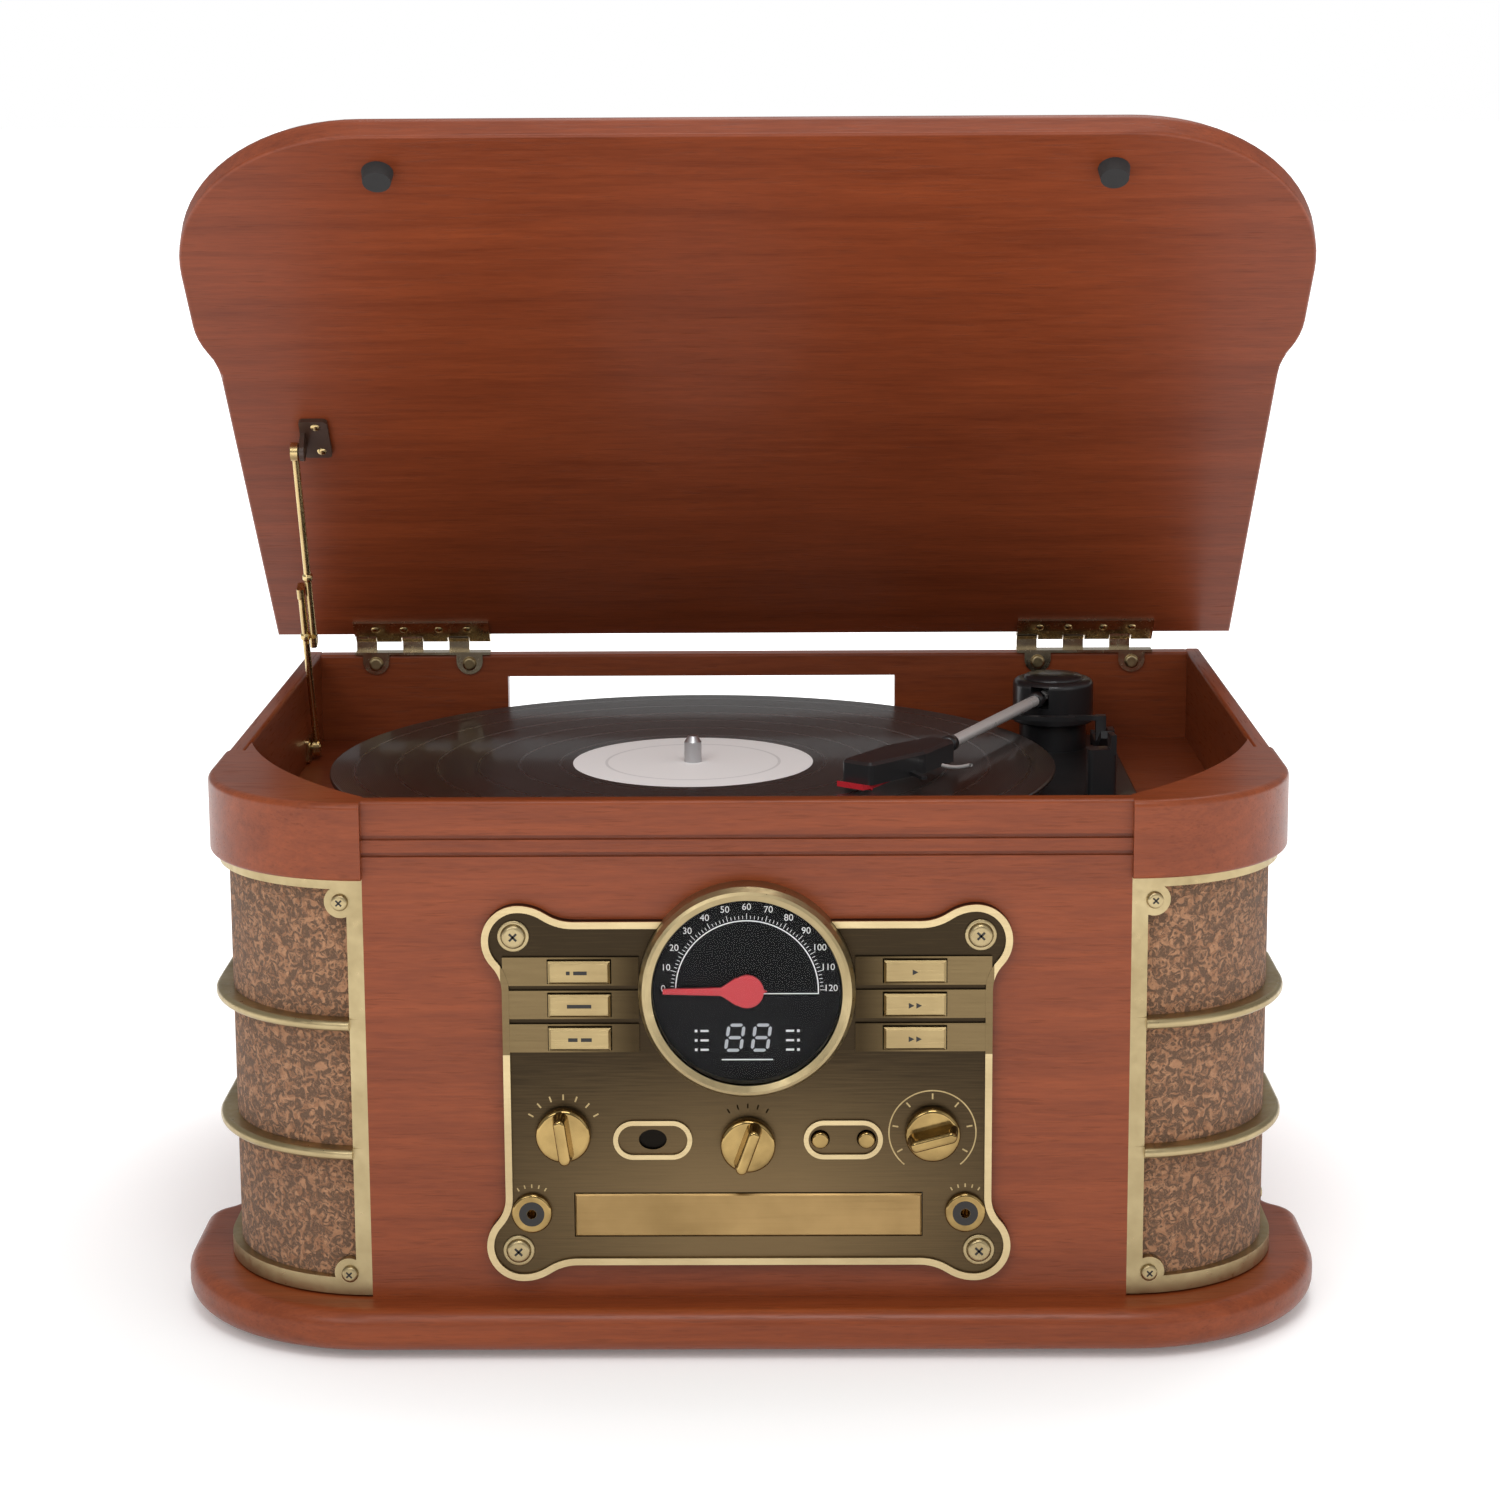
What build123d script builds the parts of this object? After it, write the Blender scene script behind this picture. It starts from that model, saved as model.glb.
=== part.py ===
"""Retro music centre: a wooden record player with a hinged lid, a tuner dial, a disc drawer
and a speaker in each rounded front corner. Millimetres, X to the right, Y to the back, Z up.
The origin is the middle of the footprint, on the surface that the feet stand on."""
from build123d import *
from math import cos, hypot, radians, sin, sqrt
import os

os.makedirs("parts", exist_ok=True)

# Cabinet
CAB_DEPTH = 320.0            # front face to back face
CAB_HALF_W = 206.0           # outside of a side panel
FRONT_OVERHANG = 17.0        # plinth beyond the front face
BACK_OVERHANG = 3.0
SIDE_OVERHANG = 4.0          # plinth beyond a side panel, behind the columns
FOOT_H = 3.0
FOOT_R = 9.0
FOOT_SINK = 2.0              # how far a foot is let into the plinth
PLINTH_T = 16.5
RIM_Z = 211.0                # top of the cabinet walls
WELL_DEPTH = 40.0            # rim down to the deck
DECK_T = 9.0
FRONT_T = 8.0
SIDE_T = 7.0
BACK_T = 9.0
GROOVE_DROPS = (13.8, 20.2)  # centres of the two front grooves, below the rim
GROOVE_W = 1.8
SEAT_GAP = 0.4               # clearance round a piece that drops into place

# Rounded front corners with their speaker grilles
COL_X = 142.0                # where the front face ends and the corner's curve starts
COL_R = 62.0                 # outside of a grille frame in plan
COL_LEN = 94.0               # column, measured back from the front face
CROWN_H = 29.5
CROWN_PROUD = 3.5            # the shoulder stands this far out from the grille
SHOULDER_TAIL = 110.0        # where the shoulder's inner edge meets the side panel
FRAME_T = 3.6
FRAME_RAIL = 3.8
FRAME_BAR = 6.0
RIB_H = 4.2
RIB_PROUD = 3.0
RIB_ZS = (75.9, 125.9)
LOBE_R = 6.0
CLOTH_T = 1.2
BAFFLE_T = 9.0
BAFFLE_INSET = 6.0
DRIVER_R = 31.0
DRIVER_DEPTH = 34.0
SCREW_R = 3.2
SCREW_H = 1.8

# Control plate on the front face
PLATE_Z = 99.9
PLATE_HALF_W = 90.7
PLATE_HALF_H = 66.3
EAR_X = 98.0                 # widest point of a corner ear
EAR_Z = 72.5                 # highest point of a corner ear
EAR_R = 13.5
EAR_START_X = 64.0           # where the top edge starts to rise towards the ear
EAR_END_Z = 40.0             # where the ear has fallen back to the side edge
PLATE_T = 3.0
BEAD_W = 2.6
BEAD_H = 1.4
PLATE_SCREW_X = 86.2
PLATE_SCREW_DZ = 60.8
PLATE_SCREW_R = 4.6
APERTURE_HALF_W = 87.0       # opening in the front panel behind the plate
APERTURE_Z = (40.0, 164.0)

# Dial
DIAL_Z = 140.9
DIAL_R = 40.0
DIAL_LIP = 4.2
DIAL_PROUD = 13.0
DIAL_FACE_Y = 5.0            # back of the printed face, in front of the front face
DIAL_FACE_T = 1.5
LENS_T = 1.2
NEEDLE_LEN = 31.0
NEEDLE_HUB_R = 6.2
NEEDLE_T = 1.3
NEEDLE_SHAFT_R = 1.5

# Knobs, push buttons and sockets
KNOB_X = 68.7
KNOB_Z = 84.8
TUNING_Z = 80.8
KNOB_R = 10.3
KNOB_SKIRT = 4.0
GRIP_H = 9.0
GRIP_W = 6.4
SHAFT_R = 3.0
SHAFT_LEN = 24.0
RUN_GAP = 0.05               # shaft in its bush
MOVE_GAP = 0.4               # button or drawer in its opening
ROW_ZS = (147.4, 134.7, 121.9)
ROW_H = 10.8
BAR_X = (40.0, 90.4)
BAR_T = 1.2
BUTTON_X = 62.0
BUTTON_W = 23.0
BUTTON_H = 8.6
BUTTON_PROUD = 2.4
BUTTON_TRAVEL = 1.6
PILL_X = 35.5
PILL_Z = 82.3
PILL_W = 29.5
PILL_H = 15.0
PILL_RIM = 1.8
PILL_BUTTON_R = 3.2
PILL_BUTTON_DX = 8.6
SENSOR_W = 10.4
SENSOR_H = 7.8
JACK_X = 81.0
JACK_Z = 54.0
JACK_R = 7.6
JACK_BORE_R = 1.8
JACK_DEPTH = 15.0

# Disc drawer
TRAY_Z = 53.0
TRAY_W = 129.5
TRAY_H = 16.5
TRAY_PROUD = 1.0
TRAY_LEN = 138.0
TRAY_DECK_W = 124.0
TRAY_DECK_T = 7.0
DISC_R = 60.5
DRIVE_LEN = 182.0
DRIVE_WALL = 2.0

# Turntable
SPINDLE_X = -24.0
SPINDLE_BACK = 165.0         # spindle, measured back from the front face
RECORD_R = 150.5
RECORD_T = 2.0
RECORD_DROP = 20.0           # rim down to the record's top
LABEL_R = 50.0
LABEL_T = 0.4
MAT_R = 96.0
MAT_T = 1.5
PLATTER_R = 97.0
PLATTER_TOP_T = 3.0
PLATTER_H = 9.5
PLATTER_WALL = 2.0
DRIVE_RING_R = 50.0
SPINDLE_R = 3.6
SPINDLE_UP = 11.0
BEARING_R = 3.0
CHASSIS_T = 3.0
CHASSIS_X = (-150.0, 163.0)
CHASSIS_BACK = (62.0, 304.0)
MOTOR_DX = -68.0
MOTOR_DY = 38.0
MOTOR_R = 15.0
MOTOR_H = 25.0
MOTOR_SHAFT_R = 1.0
PULLEY_R = 5.0
BELT_H = 4.0
BELT_T = 0.8
BELT_GAP = 0.35

# Tonearm
ARM_X = 135.0
ARM_BACK = 277.0
ARM_ANGLE = 24.3             # arm to the left of straight ahead, as it plays
ARM_PARK = 30.0              # swing from there to its rest
ARM_REACH = 195.5            # pivot to stylus
TUBE_END = 134.0
TUBE_IN = 8.0                # tube let into the headshell
TUBE_R = 2.5
TUBE_DROP = 12.0             # rim down to the tube's axis
HUB_R = 18.0
HUB_TOP_DROP = 5.5
HUB_H = 19.5
PEDESTAL_R = 15.0
PIVOT_R = 4.0
PIVOT_LEN = 8.0
PIN_R = 1.5
PIN_LEN = 15.0
HEAD_LEN = 60.0
HEAD_W = 21.0
HEAD_REAR_W = 12.0
HEAD_H = 9.0
HEAD_TURN = 14.0
STYLUS_W = 13.0
STYLUS_LEN = 20.0
TIP_GAP = 0.3
REST_REACH = 112.0
CUE_X = 153.0                # cue lever, middle of its blade
CUE_AHEAD = 15.0             # lever shaft, in front of the tonearm pivot
CUE_UP = 7.0
CUE_SHAFT_R = 1.5
RAIL_R = 40.0                # lift rail, curved round the tonearm pivot
RAIL_W = 4.0
RAIL_T = 2.0
RAIL_GAP = 1.1               # under the playing tube
SWITCH_X = 150.0
SWITCH_BACK = 120.0
SWITCH_W = 4.0
SWITCH_L = 6.0
SWITCH_TRAVEL = 8.0

# Lid, its hinges and its stay
LID_ANGLE = 45.0             # as the stay holds it open
PIN_UP = 8.5                 # hinge axis above the rim
PIN_IN = 4.0                 # hinge axis in front of the back face
LID_T = 12.0
LID_BELOW_PIN = 2.8          # inner face of the closed lid, below the hinge axis
LID_REAR = 3.5               # rear edge, in front of the hinge axis
LID_FRONT_OVERHANG = 13.3
LID_HALF_W = 218.5
LID_BULGE_W = 225.5
LID_CORNER_R = 79.0
LID_BULGE_END = 96.0
LID_BLEND = 34.0
LID_EDGE_R = 4.5
BUMPER_X = 141.0
BUMPER_REACH = 309.9
BUMPER_R = 6.2
BUMPER_GAP = 0.4
HINGE_X = 152.0
HINGE_W = 62.0
KNUCKLE_R = 3.2
HINGE_PIN_R = 1.4
LEAF_T = 1.2
LEAF_DEPTH = 11.0
FINGER_W = 9.3
FINGER_XS = (-26.2, -4.9, 16.4)
TAB_X = 21.5
TAB_W = 12.0
TAB_DROP = 9.0
STAY_X = 192.0
STAY_REACH = 149.2
STAY_BELOW_PIN = 11.0
STAY_FOOT_BACK = 266.0
STAY_FOOT_UP = 6.0           # lower pivot above the deck
STAY_ROD_R = 1.5
ROD_PITCH = 3.5
UPPER_ROD = 98.0
LOWER_ROD = 86.0
EYE_R = 4.0
STAY_PIN_R = 1.6

# Derived places
FRONT_Y = -(CAB_DEPTH + FRONT_OVERHANG + BACK_OVERHANG) / 2 + FRONT_OVERHANG
BACK_Y = FRONT_Y + CAB_DEPTH
FLOOR_Z = FOOT_H + PLINTH_T
DECK_Z = RIM_Z - WELL_DEPTH
CROWN_Z = RIM_Z - CROWN_H
INNER_W = CAB_HALF_W - SIDE_T
COL_Y = FRONT_Y + COL_R
CORE_R = COL_R - FRAME_T - CLOTH_T - SEAT_GAP
RECORD_Z = RIM_Z - RECORD_DROP
MAT_Z = RECORD_Z - RECORD_T - MAT_T
CHASSIS_Z = DECK_Z + CHASSIS_T
SPINDLE = (SPINDLE_X, FRONT_Y + SPINDLE_BACK)
MOTOR = (SPINDLE[0] + MOTOR_DX, SPINDLE[1] + MOTOR_DY)
ARM = (ARM_X, FRONT_Y + ARM_BACK)
TUBE_Z = RIM_Z - TUBE_DROP
HUB_Z = RIM_Z - HUB_TOP_DROP - HUB_H
CUE = (CUE_X, ARM[1] - CUE_AHEAD, CHASSIS_Z + CUE_UP)
SWITCH = (SWITCH_X, FRONT_Y + SWITCH_BACK)
PIN_Y = BACK_Y - PIN_IN
PIN_Z = RIM_Z + PIN_UP
LID_FRONT = FRONT_Y - LID_FRONT_OVERHANG - PIN_Y


def save(piece, name):
    """Label a finished piece and write its STEP file."""
    piece.part.label = name
    export_step(piece.part, f"parts/{name}.step")


def front_plane(x, z, y=0.0):
    """Plane on the cabinet's front, looking out at the listener, y in front of the face."""
    return Plane(origin=(x, FRONT_Y - y, z), x_dir=(1, 0, 0), z_dir=(0, -1, 0))


def bulged_plan(half_w, front_y, corner_r, bulge_end, rear_half_w, blend, back_y):
    """Plan with big round front corners that step in, by an S curve, to a narrower rear."""
    mid = ((half_w + rear_half_w) / 2, bulge_end + blend / 2)
    with BuildLine() as outline:
        front = Line((0, front_y), (half_w - corner_r, front_y))
        corner = JernArc(start=front @ 1, tangent=(1, 0), radius=corner_r, arc_size=90)
        side = Line(corner @ 1, (half_w, bulge_end))
        step_in = TangentArc(side @ 1, mid, tangent=(0, 1))
        step_out = TangentArc(mid, (rear_half_w, bulge_end + blend), tangent=step_in % 1)
        rear_side = Line(step_out @ 1, (rear_half_w, back_y))
        Line(rear_side @ 1, (0, back_y))
        mirror(about=Plane.YZ)
    make_face(outline.edges())


def corner_band(side, outer_r, inner_r, end_y):
    """Plan of a wall that follows a rounded corner and runs back to end_y."""
    centre = (side * COL_X, COL_Y)
    outer_x = side * (COL_X + outer_r)
    inner_x = side * (COL_X + inner_r)
    half = sqrt(0.5)
    with BuildLine() as outline:
        ThreePointArc((centre[0], COL_Y - outer_r),
                      (centre[0] + side * outer_r * half, COL_Y - outer_r * half),
                      (outer_x, COL_Y))
        Line((outer_x, COL_Y), (outer_x, end_y))
        Line((outer_x, end_y), (inner_x, end_y))
        Line((inner_x, end_y), (inner_x, COL_Y))
        ThreePointArc((inner_x, COL_Y),
                      (centre[0] + side * inner_r * half, COL_Y - inner_r * half),
                      (centre[0], COL_Y - inner_r))
        Line((centre[0], COL_Y - inner_r), (centre[0], COL_Y - outer_r))
    make_face(outline.edges())


# Plinth: a bullnosed board that follows the columns
with BuildPart() as plinth:
    with BuildSketch(Plane.XY.offset(FOOT_H)):
        bulged_plan(COL_X + COL_R + FRONT_OVERHANG, FRONT_Y - FRONT_OVERHANG,
                    COL_R + FRONT_OVERHANG, FRONT_Y + COL_LEN, CAB_HALF_W + SIDE_OVERHANG,
                    22.0, BACK_Y + BACK_OVERHANG)
    extrude(amount=PLINTH_T)
    fillet(plinth.faces().sort_by(Axis.Z)[-1].edges(), PLINTH_T * 0.38)
    fillet(plinth.faces().sort_by(Axis.Z)[0].edges(), PLINTH_T * 0.42)
    foot_xy = (CAB_HALF_W - 30.0, CAB_DEPTH / 2 - 30.0)
    with BuildSketch(Plane.XY.offset(FOOT_H)):
        with GridLocations(2 * foot_xy[0], 2 * foot_xy[1], 2, 2):
            Circle(FOOT_R)
    extrude(amount=FOOT_SINK, mode=Mode.SUBTRACT)
save(plinth, "plinth")

with BuildPart() as rubber_feet:
    with BuildSketch():
        with GridLocations(2 * foot_xy[0], 2 * foot_xy[1], 2, 2):
            Circle(FOOT_R)
    extrude(amount=FOOT_H + FOOT_SINK)
    chamfer(rubber_feet.faces().group_by(Axis.Z)[0].edges(), 0.8)
save(rubber_feet, "rubber_feet")

# Front panel with its two grooves and the opening behind the control plate
with BuildPart() as front_panel:
    with BuildSketch(Plane.XY.offset(FLOOR_Z)):
        with Locations((0, FRONT_Y + FRONT_T / 2)):
            Rectangle(2 * COL_X, FRONT_T)
    extrude(amount=RIM_Z - FLOOR_Z)
    top_edges = front_panel.faces().sort_by(Axis.Z)[-1].edges().filter_by(Axis.X)
    fillet(top_edges, 1.5)
    with BuildSketch(front_plane(0, 0)) as groove_lines:
        for drop in GROOVE_DROPS:
            with Locations((0, RIM_Z - drop)):
                Rectangle(2 * COL_X, GROOVE_W)
    extrude(amount=-1.4, mode=Mode.SUBTRACT)
    with BuildSketch(front_plane(0, sum(APERTURE_Z) / 2)) as aperture:
        RectangleRounded(2 * APERTURE_HALF_W, APERTURE_Z[1] - APERTURE_Z[0], 4.0)
    extrude(amount=-FRONT_T, mode=Mode.SUBTRACT)
save(front_panel, "front_panel")

# Side panels, behind the columns
with BuildPart() as side_panels:
    with BuildSketch(Plane.XY.offset(FLOOR_Z)):
        for side in (-1, 1):
            with Locations((side * (CAB_HALF_W - SIDE_T / 2),
                            (FRONT_Y + COL_LEN + BACK_Y) / 2)):
                Rectangle(SIDE_T, CAB_DEPTH - COL_LEN)
    extrude(amount=RIM_Z - FLOOR_Z)
    fillet(side_panels.faces().group_by(Axis.Z)[-1].edges().filter_by(Axis.Y), 1.5)
save(side_panels, "side_panels")

# Back panel: clearance window for the record, vents and the terminal opening
WINDOW_HALF_W = 89.0
WINDOW_Z = (176.0, RIM_Z - 10.3)
TERMINAL = (118.0, 66.0, 74.0, 34.0)
TERMINAL_PLATE_T = 1.2
PHONO_R = 1.7
INLET_R = 3.4
SOCKET_DEPTH = 7.0
with BuildPart() as back_panel:
    with BuildSketch(Plane.XY.offset(FLOOR_Z)):
        with Locations((0, BACK_Y - BACK_T / 2)):
            Rectangle(2 * INNER_W, BACK_T)
    extrude(amount=RIM_Z - FLOOR_Z)
    fillet(back_panel.faces().sort_by(Axis.Z)[-1].edges().filter_by(Axis.X), 1.5)
    back_face = Plane(origin=(0, BACK_Y, 0), x_dir=(-1, 0, 0), z_dir=(0, 1, 0))
    with BuildSketch(back_face):
        with Locations((-SPINDLE_X, sum(WINDOW_Z) / 2)):
            Rectangle(2 * WINDOW_HALF_W, WINDOW_Z[1] - WINDOW_Z[0])
        with Locations((TERMINAL[0], TERMINAL[1])):
            Rectangle(TERMINAL[2], TERMINAL[3])
        with Locations((-60.0, 100.0)):
            with GridLocations(9.0, 0.0, 12, 1):
                SlotOverall(44.0, 4.0, rotation=90)
    extrude(amount=-BACK_T, mode=Mode.SUBTRACT)
save(back_panel, "back_panel")

# Deck board on the level of the well's floor, open under the turntable chassis
HATCH = (-110.0, 60.0, 92.0, 240.0)
with BuildPart() as deck_board:
    with BuildSketch(Plane.XY.offset(DECK_Z - DECK_T)):
        with BuildLine():
            Polyline((0, FRONT_Y + FRONT_T), (COL_X, FRONT_Y + FRONT_T), (COL_X, COL_Y - CORE_R))
            ThreePointArc((COL_X, COL_Y - CORE_R), (COL_X + CORE_R * sqrt(0.5),
                          COL_Y - CORE_R * sqrt(0.5)), (COL_X + CORE_R, COL_Y))
            Polyline((COL_X + CORE_R, COL_Y), (COL_X + CORE_R, FRONT_Y + COL_LEN),
                     (INNER_W, FRONT_Y + COL_LEN), (INNER_W, BACK_Y - BACK_T),
                     (0, BACK_Y - BACK_T))
            mirror(about=Plane.YZ)
        make_face()
        with Locations(((HATCH[0] + HATCH[1]) / 2, FRONT_Y + (HATCH[2] + HATCH[3]) / 2)):
            RectangleRounded(HATCH[1] - HATCH[0], HATCH[3] - HATCH[2], 10.0,
                             mode=Mode.SUBTRACT)
    extrude(amount=DECK_T)
save(deck_board, "deck_board")


def at_column(edge, reach):
    """True for an edge that follows the column's curve at this distance from its centre."""
    mid = edge @ 0.5
    if mid.Y < COL_Y - 0.01:
        return abs(hypot(abs(mid.X) - COL_X, mid.Y - COL_Y) - reach) < 0.02
    return abs(abs(mid.X) - COL_X - reach) < 0.02


# Shoulders: the solid wooden corners that cap the columns and frame the well
baffle_back = FRONT_Y + COL_LEN + 12.0
baffle_out = COL_X + COL_R - BAFFLE_INSET
baffle_in = baffle_out - BAFFLE_T
diagonal_mid = (COL_X + 36.0, FRONT_Y + 56.0)
CROWN_R = COL_R + CROWN_PROUD
for side, name in ((-1, "left_shoulder"), (1, "right_shoulder")):
    inner_start = (side * INNER_W, FRONT_Y + SHOULDER_TAIL)
    inner_mid = (side * diagonal_mid[0], diagonal_mid[1])
    inner_end = (side * COL_X, FRONT_Y + FRONT_T)
    crown_half = CROWN_R * sqrt(0.5)
    core_half = CORE_R * sqrt(0.5)
    with BuildPart() as shoulder:
        with BuildSketch(Plane.XY.offset(CROWN_Z)):
            with BuildLine():
                Line(inner_end, (side * COL_X, COL_Y - CROWN_R))
                ThreePointArc((side * COL_X, COL_Y - CROWN_R),
                              (side * (COL_X + crown_half), COL_Y - crown_half),
                              (side * (COL_X + CROWN_R), COL_Y))
                Polyline((side * (COL_X + CROWN_R), COL_Y),
                         (side * (COL_X + CROWN_R), FRONT_Y + COL_LEN),
                         (side * INNER_W, FRONT_Y + COL_LEN), inner_start)
                ThreePointArc(inner_start, inner_mid, inner_end)
            make_face()
        extrude(amount=CROWN_H)
        crown_edges = shoulder.edges().filter_by(lambda e: at_column(e, CROWN_R))
        fillet(crown_edges.group_by(Axis.Z)[-1], 2.5)
        fillet(shoulder.edges().filter_by(lambda e: at_column(e, CROWN_R)).group_by(Axis.Z)[0],
               1.5)
        with BuildSketch(Plane.XY.offset(DECK_Z)):
            with BuildLine():
                Polyline(inner_start, (side * INNER_W, FRONT_Y + COL_LEN),
                         (side * (COL_X + CORE_R), FRONT_Y + COL_LEN),
                         (side * (COL_X + CORE_R), COL_Y))
                ThreePointArc((side * (COL_X + CORE_R), COL_Y),
                              (side * (COL_X + core_half), COL_Y - core_half),
                              (side * COL_X, COL_Y - CORE_R))
                Line((side * COL_X, COL_Y - CORE_R), inner_end)
                ThreePointArc(inner_start, inner_mid, inner_end)
            make_face()
        extrude(amount=WELL_DEPTH - CROWN_H)
    save(shoulder, name)

# Speaker baffles: boards bent behind the cloth, each with its speaker hole
baffle_top = DECK_Z - DECK_T
driver_z = (FLOOR_Z + baffle_top) / 2
baffle_mid = (COL_X + (COL_R - BAFFLE_INSET) / 2,
              FRONT_Y + BAFFLE_INSET + (COL_R - BAFFLE_INSET) / 2)
with BuildPart() as speaker_baffles:
    with BuildSketch(Plane.XY.offset(FLOOR_Z)):
        for side in (-1, 1):
            with BuildLine():
                Polyline((side * COL_X, FRONT_Y + BAFFLE_INSET), (side * baffle_out, COL_Y),
                         (side * baffle_out, FRONT_Y + COL_LEN), (side * INNER_W, FRONT_Y + COL_LEN),
                         (side * INNER_W, baffle_back), (side * baffle_in, baffle_back),
                         (side * baffle_in, COL_Y + BAFFLE_T * (sqrt(2) - 1)),
                         (side * COL_X, FRONT_Y + BAFFLE_INSET + BAFFLE_T * sqrt(2)), close=True)
            make_face()
    extrude(amount=baffle_top - FLOOR_Z)
    for side in (-1, 1):
        with BuildSketch(Plane(origin=(side * baffle_mid[0], baffle_mid[1], driver_z),
                               x_dir=(0, 0, 1), z_dir=(-side, 1, 0))):
            Circle(DRIVER_R - 6.0)
        extrude(amount=BAFFLE_T, both=True, mode=Mode.SUBTRACT)
save(speaker_baffles, "speaker_baffles")

# Speaker drivers: frame, cone basket and magnet, one behind each baffle
with BuildPart() as speaker_drivers:
    for side in (-1, 1):
        seat = Vector(side * baffle_mid[0], baffle_mid[1], driver_z)
        seat = seat + Vector(-side, 1, 0).normalized() * BAFFLE_T
        with BuildSketch(Plane(origin=seat, x_dir=(-side, 1, 0), z_dir=(1, side, 0))):
            with BuildLine():
                Polyline((0, 12.0), (3.0, 12.0), (14.0, 7.0), (14.0, 0.0), (DRIVER_DEPTH, 0.0),
                         (DRIVER_DEPTH, 16.0), (23.0, 16.0), (22.0, 18.0),
                         (3.0, DRIVER_R - 4.0), (3.0, DRIVER_R), (0, DRIVER_R),
                         (0, DRIVER_R - 6.0), (12.0, 13.0), close=True)
            make_face()
        revolve(axis=Axis(seat, Vector(-side, 1, 0)))
save(speaker_drivers, "speaker_drivers")

# Speaker cloths, stretched behind their frames
for side, name in ((-1, "left_speaker_cloth"), (1, "right_speaker_cloth")):
    with BuildPart() as cloth:
        with BuildSketch(Plane.XY.offset(FLOOR_Z + 2.0)):
            corner_band(side, COL_R - FRAME_T, COL_R - FRAME_T - CLOTH_T, FRONT_Y + COL_LEN - 2.0)
        extrude(amount=CROWN_Z - FLOOR_Z - 4.0)
    save(cloth, name)

# Grille frames: a curved brass border with corner lobes and two ribs that stand proud
FRAME_Z = (FLOOR_Z + 0.8, CROWN_Z)
FOOT_RAIL = 6.5
LOBE_X = 150.4
LOBE_ZS = (28.6, 172.8)
bays = [FRAME_Z[0] + FOOT_RAIL, *(z + d * RIB_H / 2 for z in RIB_ZS for d in (-1, 1)),
        FRAME_Z[1] - FRAME_RAIL]
for side, name in ((-1, "left_grille_frame"), (1, "right_grille_frame")):
    with BuildPart() as grille:
        with BuildSketch(Plane.XY.offset(FRAME_Z[0])):
            corner_band(side, COL_R, COL_R - FRAME_T, FRONT_Y + COL_LEN)
        extrude(amount=FRAME_Z[1] - FRAME_Z[0])
        bay_in = COL_X + FRAME_BAR
        bay_out = COL_X + COL_R + RIB_PROUD
        with BuildSketch(front_plane(0, 0, FRAME_T)):
            for low, high in zip(bays[::2], bays[1::2]):
                with Locations((side * (bay_in + bay_out) / 2, (low + high) / 2)):
                    Rectangle(bay_out - bay_in, high - low)
            with Locations(*[(side * LOBE_X, z) for z in LOBE_ZS]):
                Circle(LOBE_R, mode=Mode.SUBTRACT)
        extrude(amount=-(COL_LEN + FRAME_T - FRAME_BAR), mode=Mode.SUBTRACT)
        for rib_z in RIB_ZS:
            with BuildSketch(Plane.XY.offset(rib_z - RIB_H / 2)):
                corner_band(side, COL_R + RIB_PROUD, COL_R - FRAME_T, FRONT_Y + COL_LEN)
            extrude(amount=RIB_H)
        fillet(grille.edges().filter_by(lambda e: at_column(e, COL_R + RIB_PROUD)), 1.9)
        with BuildSketch(front_plane(0, 0)):
            with Locations((side * (COL_X + FRAME_BAR / 2), sum(FRAME_Z) / 2)):
                Rectangle(FRAME_BAR, FRAME_Z[1] - FRAME_Z[0])
        extrude(amount=RIB_PROUD + 1.0, mode=Mode.SUBTRACT)
    save(grille, name)


def dome(plane, radius, height):
    """Domed screw head standing on a plane."""
    with BuildSketch(plane) as disc:
        Circle(radius)
    head = extrude(disc.sketch, amount=height)
    fillet(head.faces().sort_by(Axis(plane.origin, plane.z_dir))[-1].edges(), height * 0.7)


# Domed screws of the grille frames, the control plate and the hinges
with BuildPart() as panel_screws:
    lean = (LOBE_X - COL_X) / COL_R
    for side in (-1, 1):
        for lobe_z in LOBE_ZS:
            out = Vector(side * lean, -sqrt(1 - lean * lean), 0)
            spot = Vector(side * COL_X, COL_Y, lobe_z) + out * COL_R
            dome(Plane(origin=spot, x_dir=(0, 0, 1), z_dir=out), SCREW_R, SCREW_H)
            spot = Vector(side * (COL_X + COL_R), FRONT_Y + COL_LEN - FRAME_BAR / 2, lobe_z)
            dome(Plane(origin=spot, x_dir=(0, 0, 1), z_dir=(side, 0, 0)), SCREW_R * 0.8, SCREW_H)
        for dz in (-PLATE_SCREW_DZ, PLATE_SCREW_DZ):
            dome(front_plane(side * PLATE_SCREW_X, PLATE_Z + dz, PLATE_T), PLATE_SCREW_R,
                 SCREW_H + 0.6)
        for tab in (-TAB_X, TAB_X):
            spot = (side * HINGE_X + tab, BACK_Y - BACK_T - LEAF_T, RIM_Z - TAB_DROP * 0.45)
            dome(Plane(origin=spot, x_dir=(1, 0, 0), z_dir=(0, -1, 0)), SCREW_R, SCREW_H)
save(panel_screws, "panel_screws")


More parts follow.
